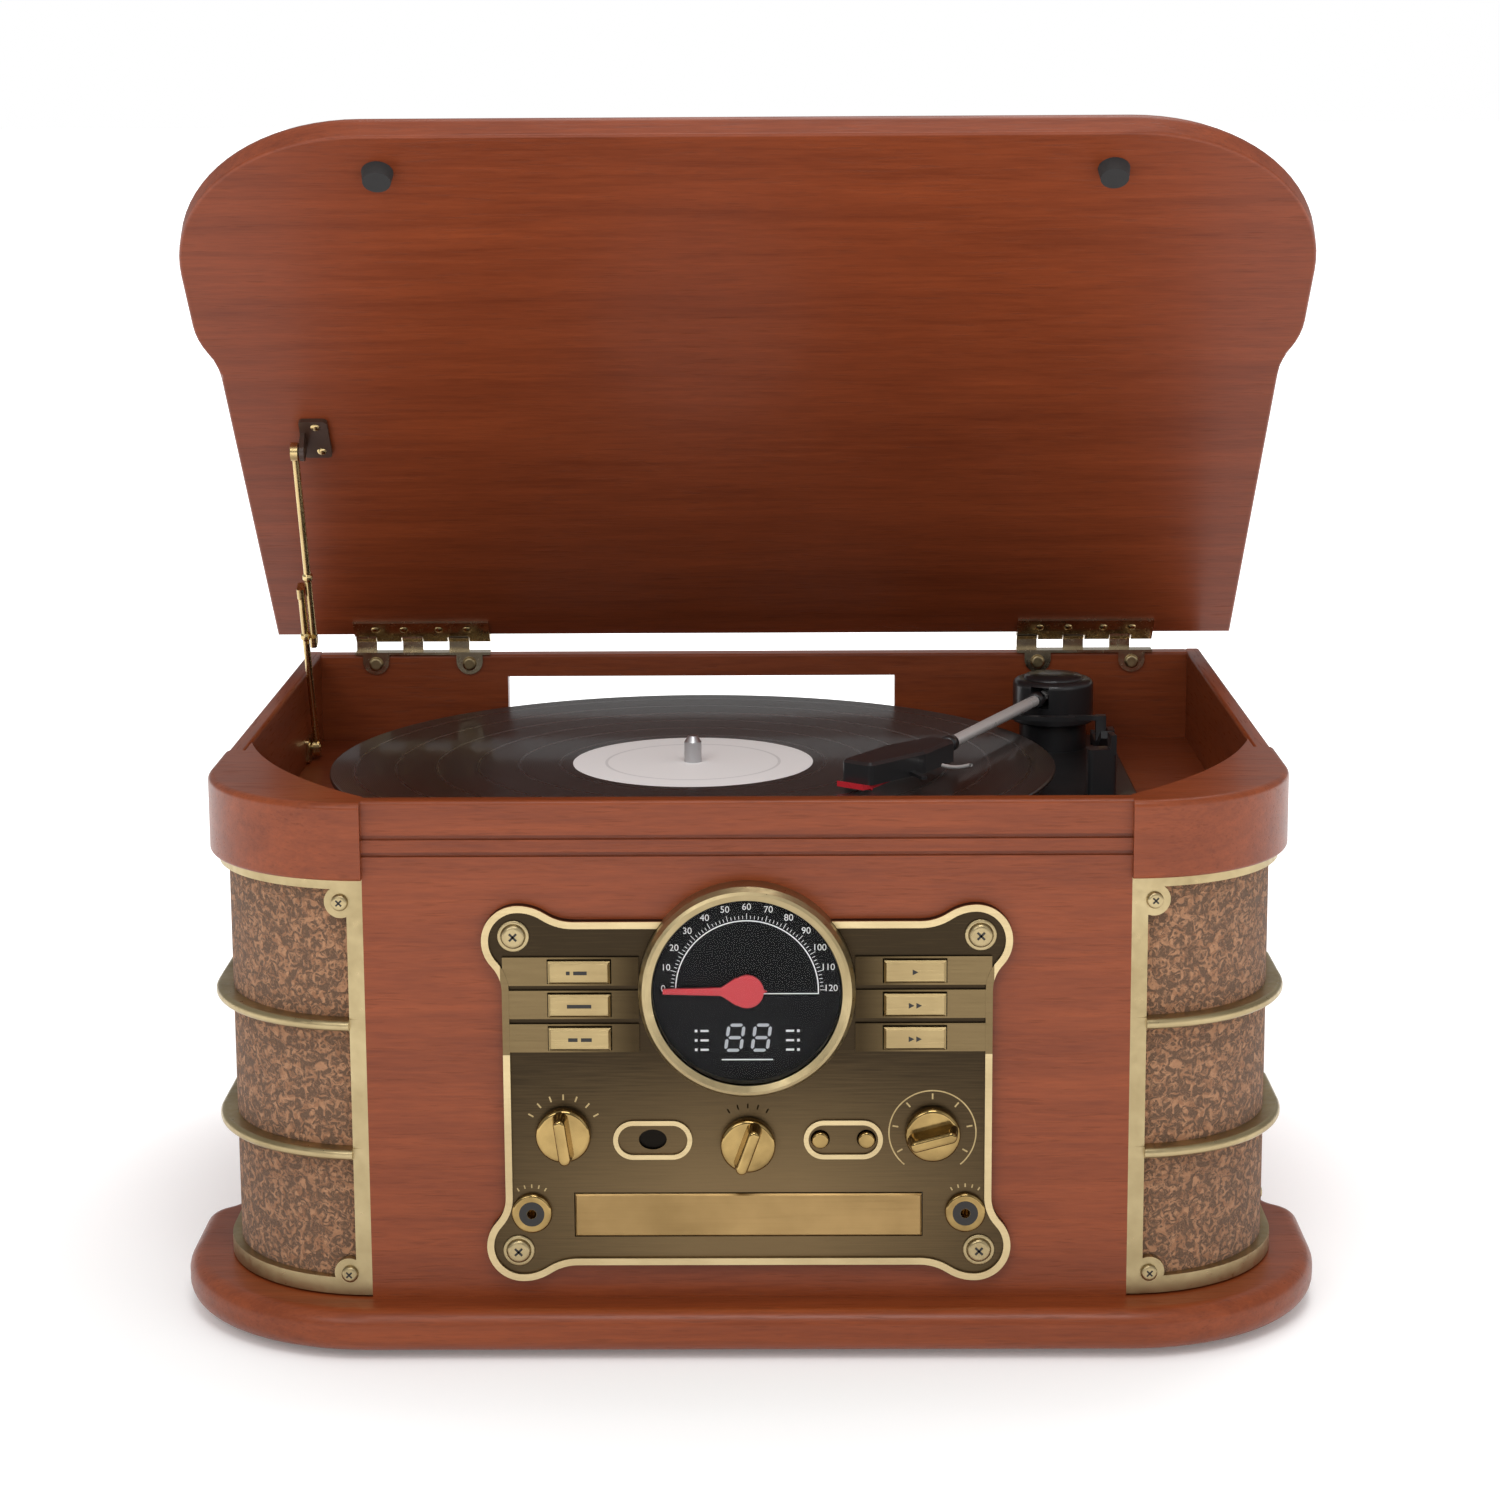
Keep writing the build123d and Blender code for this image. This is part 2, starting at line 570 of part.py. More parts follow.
def plate_outline():
    """Control plate with flared ears at its four corners."""
    with BuildLine() as outline:
        top = Line((0, PLATE_HALF_H), (EAR_START_X, PLATE_HALF_H))
        rise = TangentArc(top @ 1, ((EAR_START_X + EAR_X - EAR_R) / 2, (PLATE_HALF_H + EAR_Z) / 2),
                          tangent=(1, 0))
        crest = TangentArc(rise @ 1, (EAR_X - EAR_R, EAR_Z), tangent=rise % 1)
        ear = JernArc(start=crest @ 1, tangent=(1, 0), radius=EAR_R, arc_size=-90)
        fall = TangentArc(ear @ 1, ((EAR_X + PLATE_HALF_W) / 2, (EAR_Z - EAR_R + EAR_END_Z) / 2),
                          tangent=(0, -1))
        waist = TangentArc(fall @ 1, (PLATE_HALF_W, EAR_END_Z), tangent=fall % 1)
        Line(waist @ 1, (PLATE_HALF_W, 0))
        mirror(about=Plane.YZ)
        mirror(about=Plane.XZ)
    make_face(outline.edges())


# Control plate: raised bead, button bars, pill rims and every opening
with BuildPart() as control_plate:
    with BuildSketch(front_plane(0, PLATE_Z)):
        plate_outline()
    extrude(amount=PLATE_T)
    with BuildSketch(front_plane(0, PLATE_Z, PLATE_T)):
        plate_outline()
        offset(amount=-BEAD_W, kind=Kind.ARC, mode=Mode.SUBTRACT)
    extrude(amount=BEAD_H)
    with BuildSketch(front_plane(0, 0, PLATE_T)):
        for side in (-1, 1):
            for row_z in ROW_ZS:
                with Locations((side * sum(BAR_X) / 2, row_z)):
                    Rectangle(BAR_X[1] - BAR_X[0], ROW_H)
    extrude(amount=BAR_T)
    with BuildSketch(front_plane(0, 0, PLATE_T)):
        with Locations((-PILL_X, PILL_Z), (PILL_X, PILL_Z)):
            SlotOverall(PILL_W, PILL_H)
            SlotOverall(PILL_W - 2 * PILL_RIM, PILL_H - 2 * PILL_RIM, mode=Mode.SUBTRACT)
    extrude(amount=BAR_T)
    with BuildSketch(front_plane(0, 0, PLATE_T + BAR_T + 0.5)):
        with Locations((0, DIAL_Z)):
            Circle(DIAL_R + SEAT_GAP / 2)
        for side in (-1, 1):
            for row_z in ROW_ZS:
                with Locations((side * BUTTON_X, row_z)):
                    Rectangle(BUTTON_W + 2 * MOVE_GAP, BUTTON_H + 2 * MOVE_GAP)
            with Locations((side * KNOB_X, KNOB_Z)):
                Circle(SHAFT_R + MOVE_GAP)
            with Locations((side * JACK_X, JACK_Z)):
                Circle(JACK_R * 0.6)
            with Locations((PILL_X + side * PILL_BUTTON_DX, PILL_Z)):
                Circle(PILL_BUTTON_R + MOVE_GAP)
        with Locations((0, TUNING_Z)):
            Circle(SHAFT_R + MOVE_GAP)
        with Locations((0, TRAY_Z)):
            Rectangle(TRAY_W + 2 * MOVE_GAP, TRAY_H + 2 * MOVE_GAP)
    extrude(amount=-(PLATE_T + BAR_T + 1.0), mode=Mode.SUBTRACT)
    with BuildSketch(front_plane(-PILL_X, PILL_Z, PLATE_T)):
        Ellipse(SENSOR_W / 2, SENSOR_H / 2)
    extrude(amount=-1.5, mode=Mode.SUBTRACT)
save(control_plate, "control_plate")


def turned(profile, plane_x, plane_z):
    """Revolve a profile of (radius, height in front of the face) about a front-to-back axis."""
    with BuildSketch(Plane(origin=(plane_x, FRONT_Y, plane_z), x_dir=(1, 0, 0),
                           z_dir=(0, 0, 1))) as section:
        with BuildLine() as outline:
            Polyline(*[(r, -y) for r, y in profile], close=True)
        make_face(outline.edges())
    revolve(section.sketch, axis=Axis((plane_x, FRONT_Y, plane_z), (0, 1, 0)))


# Dial: bezel, printed face, needle and lens
seat_r = DIAL_R - DIAL_LIP
lens_back = DIAL_PROUD - 2.6
with BuildPart() as dial_bezel:
    turned([(DIAL_R, 0), (DIAL_R, DIAL_PROUD - 3.0), (DIAL_R - 1.4, DIAL_PROUD - 0.6),
            (DIAL_R - 2.6, DIAL_PROUD), (seat_r - 0.6, DIAL_PROUD - 1.0),
            (seat_r - 0.6, lens_back + LENS_T), (seat_r + 1.0, lens_back + LENS_T),
            (seat_r + 1.0, lens_back), (seat_r - 1.0, lens_back),
            (seat_r - 1.0, DIAL_FACE_Y + DIAL_FACE_T), (seat_r + 1.0, DIAL_FACE_Y + DIAL_FACE_T),
            (seat_r + 1.0, 0)], 0, DIAL_Z)
save(dial_bezel, "dial_bezel")

with BuildPart() as dial_face:
    with BuildSketch(front_plane(0, DIAL_Z, DIAL_FACE_Y)):
        Circle(seat_r + 1.0)
        Circle(NEEDLE_SHAFT_R + MOVE_GAP, mode=Mode.SUBTRACT)
    extrude(amount=DIAL_FACE_T)
    with BuildSketch(front_plane(0, DIAL_Z)):
        Circle(seat_r + 1.0)
        Circle(seat_r - 1.5, mode=Mode.SUBTRACT)
    extrude(amount=DIAL_FACE_Y)
save(dial_face, "dial_face")

with BuildPart() as dial_lens:
    with BuildSketch(front_plane(0, DIAL_Z, lens_back)):
        Circle(seat_r + 1.0)
    extrude(amount=LENS_T)
save(dial_lens, "dial_lens")

BOARD_Y = -30.0              # front of the circuit board, behind the front face
needle_y = DIAL_FACE_Y + DIAL_FACE_T + 1.2
with BuildPart() as dial_needle:
    with BuildSketch(front_plane(0, DIAL_Z, needle_y)):
        with BuildLine():
            Polyline((-NEEDLE_LEN, 0.9), (-NEEDLE_LEN, -0.9), (-9.0, -1.5), (-9.0, 1.5), close=True)
        make_face()
        with BuildLine():
            Polyline((-9.5, 1.5), (-4.0, 5.2), (7.4, 0), (-4.0, -5.2), (-9.5, -1.5), close=True)
        make_face()
        Circle(NEEDLE_HUB_R)
    extrude(amount=NEEDLE_T)
    with BuildSketch(front_plane(0, DIAL_Z, needle_y)):
        Circle(NEEDLE_SHAFT_R)
    extrude(amount=-(needle_y - BOARD_Y - 2.0))
save(dial_needle, "dial_needle")

# Knobs: a round skirt with a raised grip, on a shaft that runs in its control
knob_y = PLATE_T + 0.8
for name, knob_x, knob_z, turn in (("function_knob", -KNOB_X, KNOB_Z, 8.0),
                                   ("tuning_knob", 0.0, TUNING_Z, -20.0),
                                   ("volume_knob", KNOB_X, KNOB_Z, -75.0)):
    with BuildPart() as knob:
        face = front_plane(knob_x, knob_z, knob_y)
        with BuildSketch(face):
            Circle(KNOB_R)
        extrude(amount=KNOB_SKIRT)
        fillet(knob.edges().group_by(Axis.Y)[0], 1.6)
        with BuildSketch(front_plane(knob_x, knob_z, knob_y + KNOB_SKIRT - 1.0)):
            SlotOverall(2 * KNOB_R - 1.0, GRIP_W, rotation=90 + turn)
        extrude(amount=GRIP_H, taper=7)
        fillet(knob.edges().group_by(Axis.Y)[0], 1.4)
        with BuildSketch(face):
            Circle(SHAFT_R)
        extrude(amount=-SHAFT_LEN)
    save(knob, name)

# Push buttons: six bar buttons beside the dial and two round ones in the right pill
def bar_button(name, x, z):
    """Bar button with the stem that works its switch."""
    with BuildPart() as button:
        with BuildSketch(front_plane(x, z, -1.0)):
            Rectangle(BUTTON_W, BUTTON_H)
        extrude(amount=1.0 + PLATE_T + BAR_T + BUTTON_PROUD)
        chamfer(button.faces().sort_by(Axis.Y)[0].edges(), 0.9)
        with BuildSketch(front_plane(x, z, -1.0)):
            Circle(2.0)
        extrude(amount=-(-BOARD_Y - 1.0 - 6.0 - BUTTON_TRAVEL - 0.6))
    save(button, name)


for side, side_name in ((-1, "left"), (1, "right")):
    for row_z, row_name in zip(ROW_ZS, ("top", "middle", "bottom")):
        bar_button(f"{side_name}_{row_name}_button", side * BUTTON_X, row_z)

for side, name in ((-1, "stop_button"), (1, "play_button")):
    with BuildPart() as button:
        with BuildSketch(front_plane(PILL_X + side * PILL_BUTTON_DX, PILL_Z, -1.0)):
            Circle(PILL_BUTTON_R)
        extrude(amount=1.0 + PLATE_T + BUTTON_PROUD)
        fillet(button.edges().group_by(Axis.Y)[0], 1.0)
        with BuildSketch(front_plane(PILL_X + side * PILL_BUTTON_DX, PILL_Z, -1.0)):
            Circle(2.0)
        extrude(amount=-(-BOARD_Y - 1.0 - 6.0 - BUTTON_TRAVEL - 0.6))
    save(button, name)

# Front sockets: two threaded barrels with ring nuts
with BuildPart() as front_jacks:
    with BuildSketch(front_plane(0, JACK_Z, PLATE_T)):
        with Locations((-JACK_X, 0), (JACK_X, 0)):
            Circle(JACK_R)
    extrude(amount=2.4)
    fillet(front_jacks.edges().group_by(Axis.Y)[0], 1.2)
    with BuildSketch(front_plane(0, JACK_Z, PLATE_T)):
        with Locations((-JACK_X, 0), (JACK_X, 0)):
            Circle(JACK_R * 0.6)
    extrude(amount=-JACK_DEPTH - 2.0)
    with BuildSketch(front_plane(0, JACK_Z, PLATE_T + 2.4)):
        with Locations((-JACK_X, 0), (JACK_X, 0)):
            Circle(JACK_BORE_R)
    extrude(amount=-JACK_DEPTH, mode=Mode.SUBTRACT)
save(front_jacks, "front_jacks")

# Disc drawer and the drive that it slides in
drive_y = (FRONT_Y + FRONT_T + 2.0, FRONT_Y + FRONT_T + 2.0 + DRIVE_LEN)
tray_z = (TRAY_Z - 6.0, TRAY_Z - 6.0 + TRAY_DECK_T)
drive_half_w = TRAY_DECK_W / 2 + MOVE_GAP + DRIVE_WALL + 2.0
fascia_y = PLATE_T + TRAY_PROUD - 3.0
with BuildPart() as cd_tray:
    with BuildSketch(front_plane(0, TRAY_Z, fascia_y)):
        Rectangle(TRAY_W, TRAY_H)
    extrude(amount=3.0)
    chamfer(cd_tray.faces().sort_by(Axis.Y)[0].edges(), 0.6)
    with BuildSketch(Plane.XY.offset(tray_z[0])):
        with Locations((0, FRONT_Y - fascia_y + TRAY_LEN / 2)):
            Rectangle(TRAY_DECK_W, TRAY_LEN)
    extrude(amount=TRAY_DECK_T)
    disc_centre = (0, FRONT_Y - fascia_y + 6.0 + DISC_R)
    with BuildSketch(Plane.XY.offset(tray_z[1])):
        with Locations(disc_centre):
            Circle(DISC_R)
    extrude(amount=-2.4, mode=Mode.SUBTRACT)
    with BuildSketch(Plane.XY.offset(tray_z[0])):
        with Locations((0, disc_centre[1] + 18.0)):
            SlotOverall(84.0, 40.0, rotation=90)
    extrude(amount=TRAY_DECK_T, mode=Mode.SUBTRACT)
save(cd_tray, "cd_tray")

with BuildPart() as cd_drive:
    with BuildSketch(Plane.XY.offset(tray_z[0] - MOVE_GAP - DRIVE_WALL)):
        with Locations((0, sum(drive_y) / 2)):
            Rectangle(2 * drive_half_w, DRIVE_LEN)
    extrude(amount=TRAY_DECK_T + 10.0 + 2 * DRIVE_WALL)
    with BuildSketch(Plane.XY.offset(tray_z[0] - MOVE_GAP)):
        with Locations((0, drive_y[0] + DRIVE_LEN / 2 - DRIVE_WALL)):
            Rectangle(2 * (TRAY_DECK_W / 2 + MOVE_GAP), DRIVE_LEN)
    extrude(amount=TRAY_DECK_T + 2 * MOVE_GAP, mode=Mode.SUBTRACT)
    with BuildSketch(Plane.XY.offset(FLOOR_Z)):
        with Locations((0, sum(drive_y) / 2)):
            with GridLocations(2 * drive_half_w - 8.0, DRIVE_LEN - 8.0, 2, 2):
                Circle(4.0)
    extrude(amount=tray_z[0] - MOVE_GAP - DRIVE_WALL - FLOOR_Z)
save(cd_drive, "cd_drive")

# Amplifier board on standoffs behind the control plate, with its controls and switches
BOARD_H = 90.0
board_z = DECK_Z - DECK_T - 1.5 - BOARD_H / 2
with BuildPart() as amplifier_board:
    with BuildSketch(front_plane(0, board_z, BOARD_Y)):
        Rectangle(2 * APERTURE_HALF_W + 18.0, BOARD_H)
    extrude(amount=-1.6)
    with BuildSketch(front_plane(0, board_z, BOARD_Y)):
        with GridLocations(2 * APERTURE_HALF_W + 9.0, BOARD_H - 8.0, 2, 2):
            Circle(3.0)
    extrude(amount=-BOARD_Y - FRONT_T)
    with BuildSketch(front_plane(0, 0, BOARD_Y)):
        with Locations((-KNOB_X, KNOB_Z), (0, TUNING_Z), (KNOB_X, KNOB_Z)):
            Circle(8.0)
    extrude(amount=14.0)
    with BuildSketch(front_plane(0, 0, BOARD_Y)):
        with Locations((0, DIAL_Z)):
            Circle(5.0)
        with Locations(*[(side * BUTTON_X, z) for side in (-1, 1) for z in ROW_ZS]):
            Rectangle(8.0, 8.0)
        with Locations(*[(PILL_X + side * PILL_BUTTON_DX, PILL_Z) for side in (-1, 1)]):
            Rectangle(6.0, 6.0)
    extrude(amount=6.0)
    with BuildSketch(front_plane(0, 0, BOARD_Y + 14.0)):
        with Locations((-KNOB_X, KNOB_Z), (0, TUNING_Z), (KNOB_X, KNOB_Z)):
            Circle(SHAFT_R + RUN_GAP)
    extrude(amount=-12.0, mode=Mode.SUBTRACT)
    with BuildSketch(front_plane(0, DIAL_Z, BOARD_Y + 6.0)):
        Circle(NEEDLE_SHAFT_R + RUN_GAP)
    extrude(amount=-5.5, mode=Mode.SUBTRACT)
save(amplifier_board, "amplifier_board")

# Mains transformer and the rear terminal plate
with BuildPart() as transformer:
    with BuildSketch(Plane.XY.offset(FLOOR_Z)):
        with Locations((-120.0, FRONT_Y + 235.0)):
            Rectangle(58.0, 34.0)
    extrude(amount=2.0)
    with BuildSketch(Plane.XY.offset(FLOOR_Z + 2.0)):
        with Locations((-120.0, FRONT_Y + 235.0)):
            Rectangle(48.0, 20.0)
    extrude(amount=40.0)
    with BuildSketch(Plane.XY.offset(FLOOR_Z + 10.0)):
        with Locations((-120.0, FRONT_Y + 235.0)):
            RectangleRounded(30.0, 34.0, 6.0)
    extrude(amount=24.0)
save(transformer, "transformer")

with BuildPart() as rear_terminals:
    with BuildSketch(back_face):
        with Locations((TERMINAL[0], TERMINAL[1])):
            RectangleRounded(TERMINAL[2] + 10.0, TERMINAL[3] + 10.0, 3.0)
    extrude(amount=TERMINAL_PLATE_T)
    with BuildSketch(back_face):
        with Locations((TERMINAL[0], TERMINAL[1])):
            Rectangle(TERMINAL[2] - 1.0, TERMINAL[3] - 1.0)
    extrude(amount=-BACK_T)
    with BuildSketch(back_face.offset(TERMINAL_PLATE_T)):
        with Locations((TERMINAL[0] - 14.0, TERMINAL[1])):
            with GridLocations(16.0, 16.0, 2, 2):
                Circle(4.4)
        with Locations((TERMINAL[0] + 22.0, TERMINAL[1])):
            Circle(7.0)
    extrude(amount=BACK_OVERHANG - TERMINAL_PLATE_T)
    with BuildSketch(back_face.offset(BACK_OVERHANG)):
        with Locations((TERMINAL[0] - 14.0, TERMINAL[1])):
            with GridLocations(16.0, 16.0, 2, 2):
                Circle(PHONO_R)
        with Locations((TERMINAL[0] + 22.0, TERMINAL[1])):
            Circle(INLET_R)
    extrude(amount=-SOCKET_DEPTH, mode=Mode.SUBTRACT)
save(rear_terminals, "rear_terminals")

# Turntable chassis: a moulded plate with the platter bearing and the tonearm pedestal
with BuildPart() as turntable_chassis:
    with BuildSketch(Plane.XY.offset(DECK_Z)):
        with Locations((sum(CHASSIS_X) / 2, FRONT_Y + sum(CHASSIS_BACK) / 2)):
            RectangleRounded(CHASSIS_X[1] - CHASSIS_X[0], CHASSIS_BACK[1] - CHASSIS_BACK[0], 12.0)
    extrude(amount=CHASSIS_T)
    chamfer(turntable_chassis.faces().sort_by(Axis.Z)[-1].edges(), 0.8)
    with BuildSketch(Plane.XY.offset(DECK_Z - 8.0)):
        with Locations(SPINDLE):
            Circle(BEARING_R + 4.0)
    extrude(amount=8.0)
    with BuildSketch(Plane.XY.offset(CHASSIS_Z)):
        with Locations(SPINDLE):
            Circle(BEARING_R + 3.0)
    extrude(amount=3.0)
    with BuildSketch(Plane.XY.offset(CHASSIS_Z)):
        with Locations(ARM):
            Circle(PEDESTAL_R)
    extrude(amount=HUB_Z - 0.5 - CHASSIS_Z)
    with BuildSketch(Plane.XY.offset(DECK_Z - 8.0)):
        with Locations(SPINDLE):
            Circle(BEARING_R + RUN_GAP)
        with Locations(MOTOR):
            Circle(MOTOR_SHAFT_R + 1.0)
    extrude(amount=8.0 + CHASSIS_T + 3.0, mode=Mode.SUBTRACT)
    with BuildSketch(Plane.XY.offset(HUB_Z - 0.5)):
        with Locations(ARM):
            Circle(PIVOT_R + RUN_GAP)
    extrude(amount=-PIVOT_LEN - 0.5, mode=Mode.SUBTRACT)
    with BuildSketch(Plane.XY.offset(CHASSIS_Z)):
        with Locations((CUE[0] + 6.5, CUE[1])):
            Rectangle(3.0, 9.0)
    extrude(amount=CUE[2] + 4.0 - CHASSIS_Z)
    with BuildSketch(Plane(origin=CUE, x_dir=(0, 1, 0), z_dir=(1, 0, 0))):
        Circle(CUE_SHAFT_R + RUN_GAP)
    extrude(amount=10.0, mode=Mode.SUBTRACT)
    with BuildSketch(Plane.XY.offset(DECK_Z)):
        with Locations(SWITCH):
            Rectangle(SWITCH_W + 2 * MOVE_GAP, SWITCH_L + 2 * (SWITCH_TRAVEL + MOVE_GAP))
    extrude(amount=CHASSIS_T, mode=Mode.SUBTRACT)
save(turntable_chassis, "turntable_chassis")

# Platter with its bearing shaft, drive ring and spindle, turned from one profile
with BuildPart() as platter:
    top_z = MAT_Z
    under_z = MAT_Z - PLATTER_TOP_T
    skirt_z = MAT_Z - PLATTER_H
    with BuildSketch(Plane(origin=(SPINDLE[0], SPINDLE[1], 0), x_dir=(1, 0, 0),
                           z_dir=(0, -1, 0))):
        with BuildLine():
            Polyline((0, DECK_Z - 7.0), (BEARING_R, DECK_Z - 7.0), (BEARING_R, CHASSIS_Z + 3.5),
                     (BEARING_R + 5.0, CHASSIS_Z + 3.5), (BEARING_R + 5.0, under_z),
                     (DRIVE_RING_R - 2.0, under_z), (DRIVE_RING_R - 2.0, skirt_z),
                     (DRIVE_RING_R, skirt_z), (DRIVE_RING_R, under_z),
                     (PLATTER_R - PLATTER_WALL, under_z), (PLATTER_R - PLATTER_WALL, skirt_z),
                     (PLATTER_R, skirt_z), (PLATTER_R, top_z), (SPINDLE_R, top_z),
                     (SPINDLE_R, RECORD_Z + SPINDLE_UP - 2.5),
                     (SPINDLE_R - 1.6, RECORD_Z + SPINDLE_UP), (0, RECORD_Z + SPINDLE_UP),
                     close=True)
        make_face()
    revolve(axis=Axis((SPINDLE[0], SPINDLE[1], 0), (0, 0, 1)))
save(platter, "platter")

with BuildPart() as platter_mat:
    with BuildSketch(Plane.XY.offset(MAT_Z)):
        with Locations(SPINDLE):
            Circle(MAT_R)
            Circle(SPINDLE_R, mode=Mode.SUBTRACT)
    extrude(amount=MAT_T)
    with BuildSketch(Plane.XY.offset(MAT_Z + MAT_T)):
        with Locations(SPINDLE):
            for ring in (60.0, 74.0, 88.0):
                Circle(ring)
                Circle(ring - 3.0, mode=Mode.SUBTRACT)
    extrude(amount=-0.5, mode=Mode.SUBTRACT)
save(platter_mat, "platter_mat")

with BuildPart() as record:
    with BuildSketch(Plane.XY.offset(RECORD_Z - RECORD_T)):
        with Locations(SPINDLE):
            Circle(RECORD_R)
            Circle(SPINDLE_R, mode=Mode.SUBTRACT)
    extrude(amount=RECORD_T)
    rim_edges = record.edges().filter_by(GeomType.CIRCLE).filter_by(
        lambda e: e.radius > RECORD_R - 1.0)
    fillet(rim_edges, 0.7)
    with BuildSketch(Plane.XY.offset(RECORD_Z)):
        with Locations(SPINDLE):
            Circle(LABEL_R)
    extrude(amount=-LABEL_T, mode=Mode.SUBTRACT)
save(record, "record")

with BuildPart() as record_label:
    with BuildSketch(Plane.XY.offset(RECORD_Z - LABEL_T)):
        with Locations(SPINDLE):
            Circle(LABEL_R)
            Circle(SPINDLE_R, mode=Mode.SUBTRACT)
    extrude(amount=LABEL_T)
save(record_label, "record_label")

# Motor under the chassis, its pulley and the belt round the platter's drive ring
with BuildPart() as platter_motor:
    with BuildSketch(Plane.XY.offset(DECK_Z)):
        with Locations(MOTOR):
            Circle(MOTOR_R)
    extrude(amount=-MOTOR_H)
    fillet(platter_motor.edges().group_by(Axis.Z)[0], 2.0)
    with BuildSketch(Plane.XY.offset(DECK_Z)):
        with Locations(MOTOR):
            Circle(MOTOR_SHAFT_R + RUN_GAP)
    extrude(amount=-14.0, mode=Mode.SUBTRACT)
save(platter_motor, "platter_motor")

belt_z = MAT_Z - PLATTER_H + 1.0
with BuildPart() as motor_pulley:
    with BuildSketch(Plane.XY.offset(DECK_Z - 13.0)):
        with Locations(MOTOR):
            Circle(MOTOR_SHAFT_R)
    extrude(amount=13.0 + belt_z + BELT_H - DECK_Z)
    with BuildSketch(Plane.XY.offset(belt_z - 1.2)):
        with Locations(MOTOR):
            Circle(PULLEY_R)
    extrude(amount=BELT_H + 1.6)
    with BuildSketch(Plane.XY.offset(belt_z - 1.2)):
        with Locations(MOTOR):
            Circle(PULLEY_R + 1.5)
    extrude(amount=0.8)
save(motor_pulley, "motor_pulley")

with BuildPart() as drive_belt:
    with BuildSketch(Plane.XY.offset(belt_z)):
        with Locations(SPINDLE):
            Circle(DRIVE_RING_R + BELT_GAP + BELT_T)
        with Locations(MOTOR):
            Circle(PULLEY_R + BELT_GAP + BELT_T)
        make_hull()
        with BuildSketch(mode=Mode.PRIVATE) as belt_inside:
            with Locations(SPINDLE):
                Circle(DRIVE_RING_R + BELT_GAP)
            with Locations(MOTOR):
                Circle(PULLEY_R + BELT_GAP)
            make_hull()
        add(belt_inside.sketch, mode=Mode.SUBTRACT)
    extrude(amount=BELT_H)
save(drive_belt, "drive_belt")


def arm_plane(z, along=0.0, turn=0.0):
    """Plane whose x axis runs along the tonearm, from its pivot to the stylus."""
    heading = radians(-90.0 - ARM_ANGLE)
    aim = radians(-90.0 - ARM_ANGLE - turn)
    origin = (ARM[0] + along * cos(heading), ARM[1] + along * sin(heading), z)
    return Plane(origin=origin, x_dir=(cos(aim), sin(aim), 0), z_dir=(0, 0, 1))


# Tonearm hub: turns on the pedestal and holds the tube's cross pin
slot_z = (TUBE_Z - 4.6, TUBE_Z + 4.8)
with BuildPart() as tonearm_hub:
    with BuildSketch(arm_plane(HUB_Z)):
        Circle(HUB_R)
    extrude(amount=HUB_H)
    fillet(tonearm_hub.edges().group_by(Axis.Z)[-1], 3.0)
    fillet(tonearm_hub.edges().group_by(Axis.Z)[0], 0.8)
    with BuildSketch(arm_plane(slot_z[0])):
        with Locations((HUB_R / 2 - 3.0, 0)):
            Rectangle(HUB_R + 6.0, 8.4)
    extrude(amount=slot_z[1] - slot_z[0], mode=Mode.SUBTRACT)
    with BuildSketch(arm_plane(HUB_Z)):
        Circle(PIVOT_R)
    extrude(amount=-PIVOT_LEN)
    cross = arm_plane(TUBE_Z)
    with BuildSketch(Plane(origin=cross.origin, x_dir=cross.x_dir, z_dir=cross.y_dir)):
        Circle(PIN_R + RUN_GAP)
    extrude(amount=PIN_LEN / 2 + 0.5, both=True, mode=Mode.SUBTRACT)
save(tonearm_hub, "tonearm_hub")

# Tube with the cross pin that lets it lift
with BuildPart() as tonearm_tube:
    along = arm_plane(TUBE_Z)
    with BuildSketch(Plane(origin=along.origin, x_dir=along.y_dir, z_dir=along.x_dir)):
        Circle(TUBE_R)
    extrude(amount=TUBE_END + TUBE_IN)
    with BuildSketch(Plane(origin=along.origin, x_dir=along.x_dir, z_dir=along.y_dir)):
        Circle(3.4)
    extrude(amount=3.6, both=True)
    with BuildSketch(Plane(origin=along.origin, x_dir=along.x_dir, z_dir=along.y_dir)):
        Circle(PIN_R)
    extrude(amount=PIN_LEN / 2, both=True)
save(tonearm_tube, "tonearm_tube")

# Headshell: a tapered moulding turned towards the spindle, with its finger lift
head_top = TUBE_Z + 3.8
with BuildPart() as headshell:
    with BuildSketch(arm_plane(head_top, TUBE_END, HEAD_TURN)):
        with BuildLine():
            Polyline((0, HEAD_REAR_W / 2), (HEAD_LEN * 0.45, HEAD_W / 2), (HEAD_LEN, HEAD_W * 0.36),
                     (HEAD_LEN, -HEAD_W * 0.36), (HEAD_LEN * 0.45, -HEAD_W / 2),
                     (0, -HEAD_REAR_W / 2), close=True)
        make_face()
        fillet(vertices(), 2.5)
    extrude(amount=-HEAD_H)
    chamfer(headshell.faces().sort_by(Axis.Z)[-1].edges(), 1.2)
    with BuildSketch(Plane(origin=along.origin, x_dir=along.y_dir, z_dir=along.x_dir)):
        Circle(TUBE_R)
    extrude(amount=TUBE_END + TUBE_IN, mode=Mode.SUBTRACT)
    with BuildSketch(arm_plane(head_top - HEAD_H + 1.0, TUBE_END, HEAD_TURN)):
        with Locations((HEAD_LEN * 0.62, HEAD_W / 2 + 3.0)):
            SlotOverall(16.0, 3.0, rotation=60)
    extrude(amount=1.2)
save(headshell, "headshell")

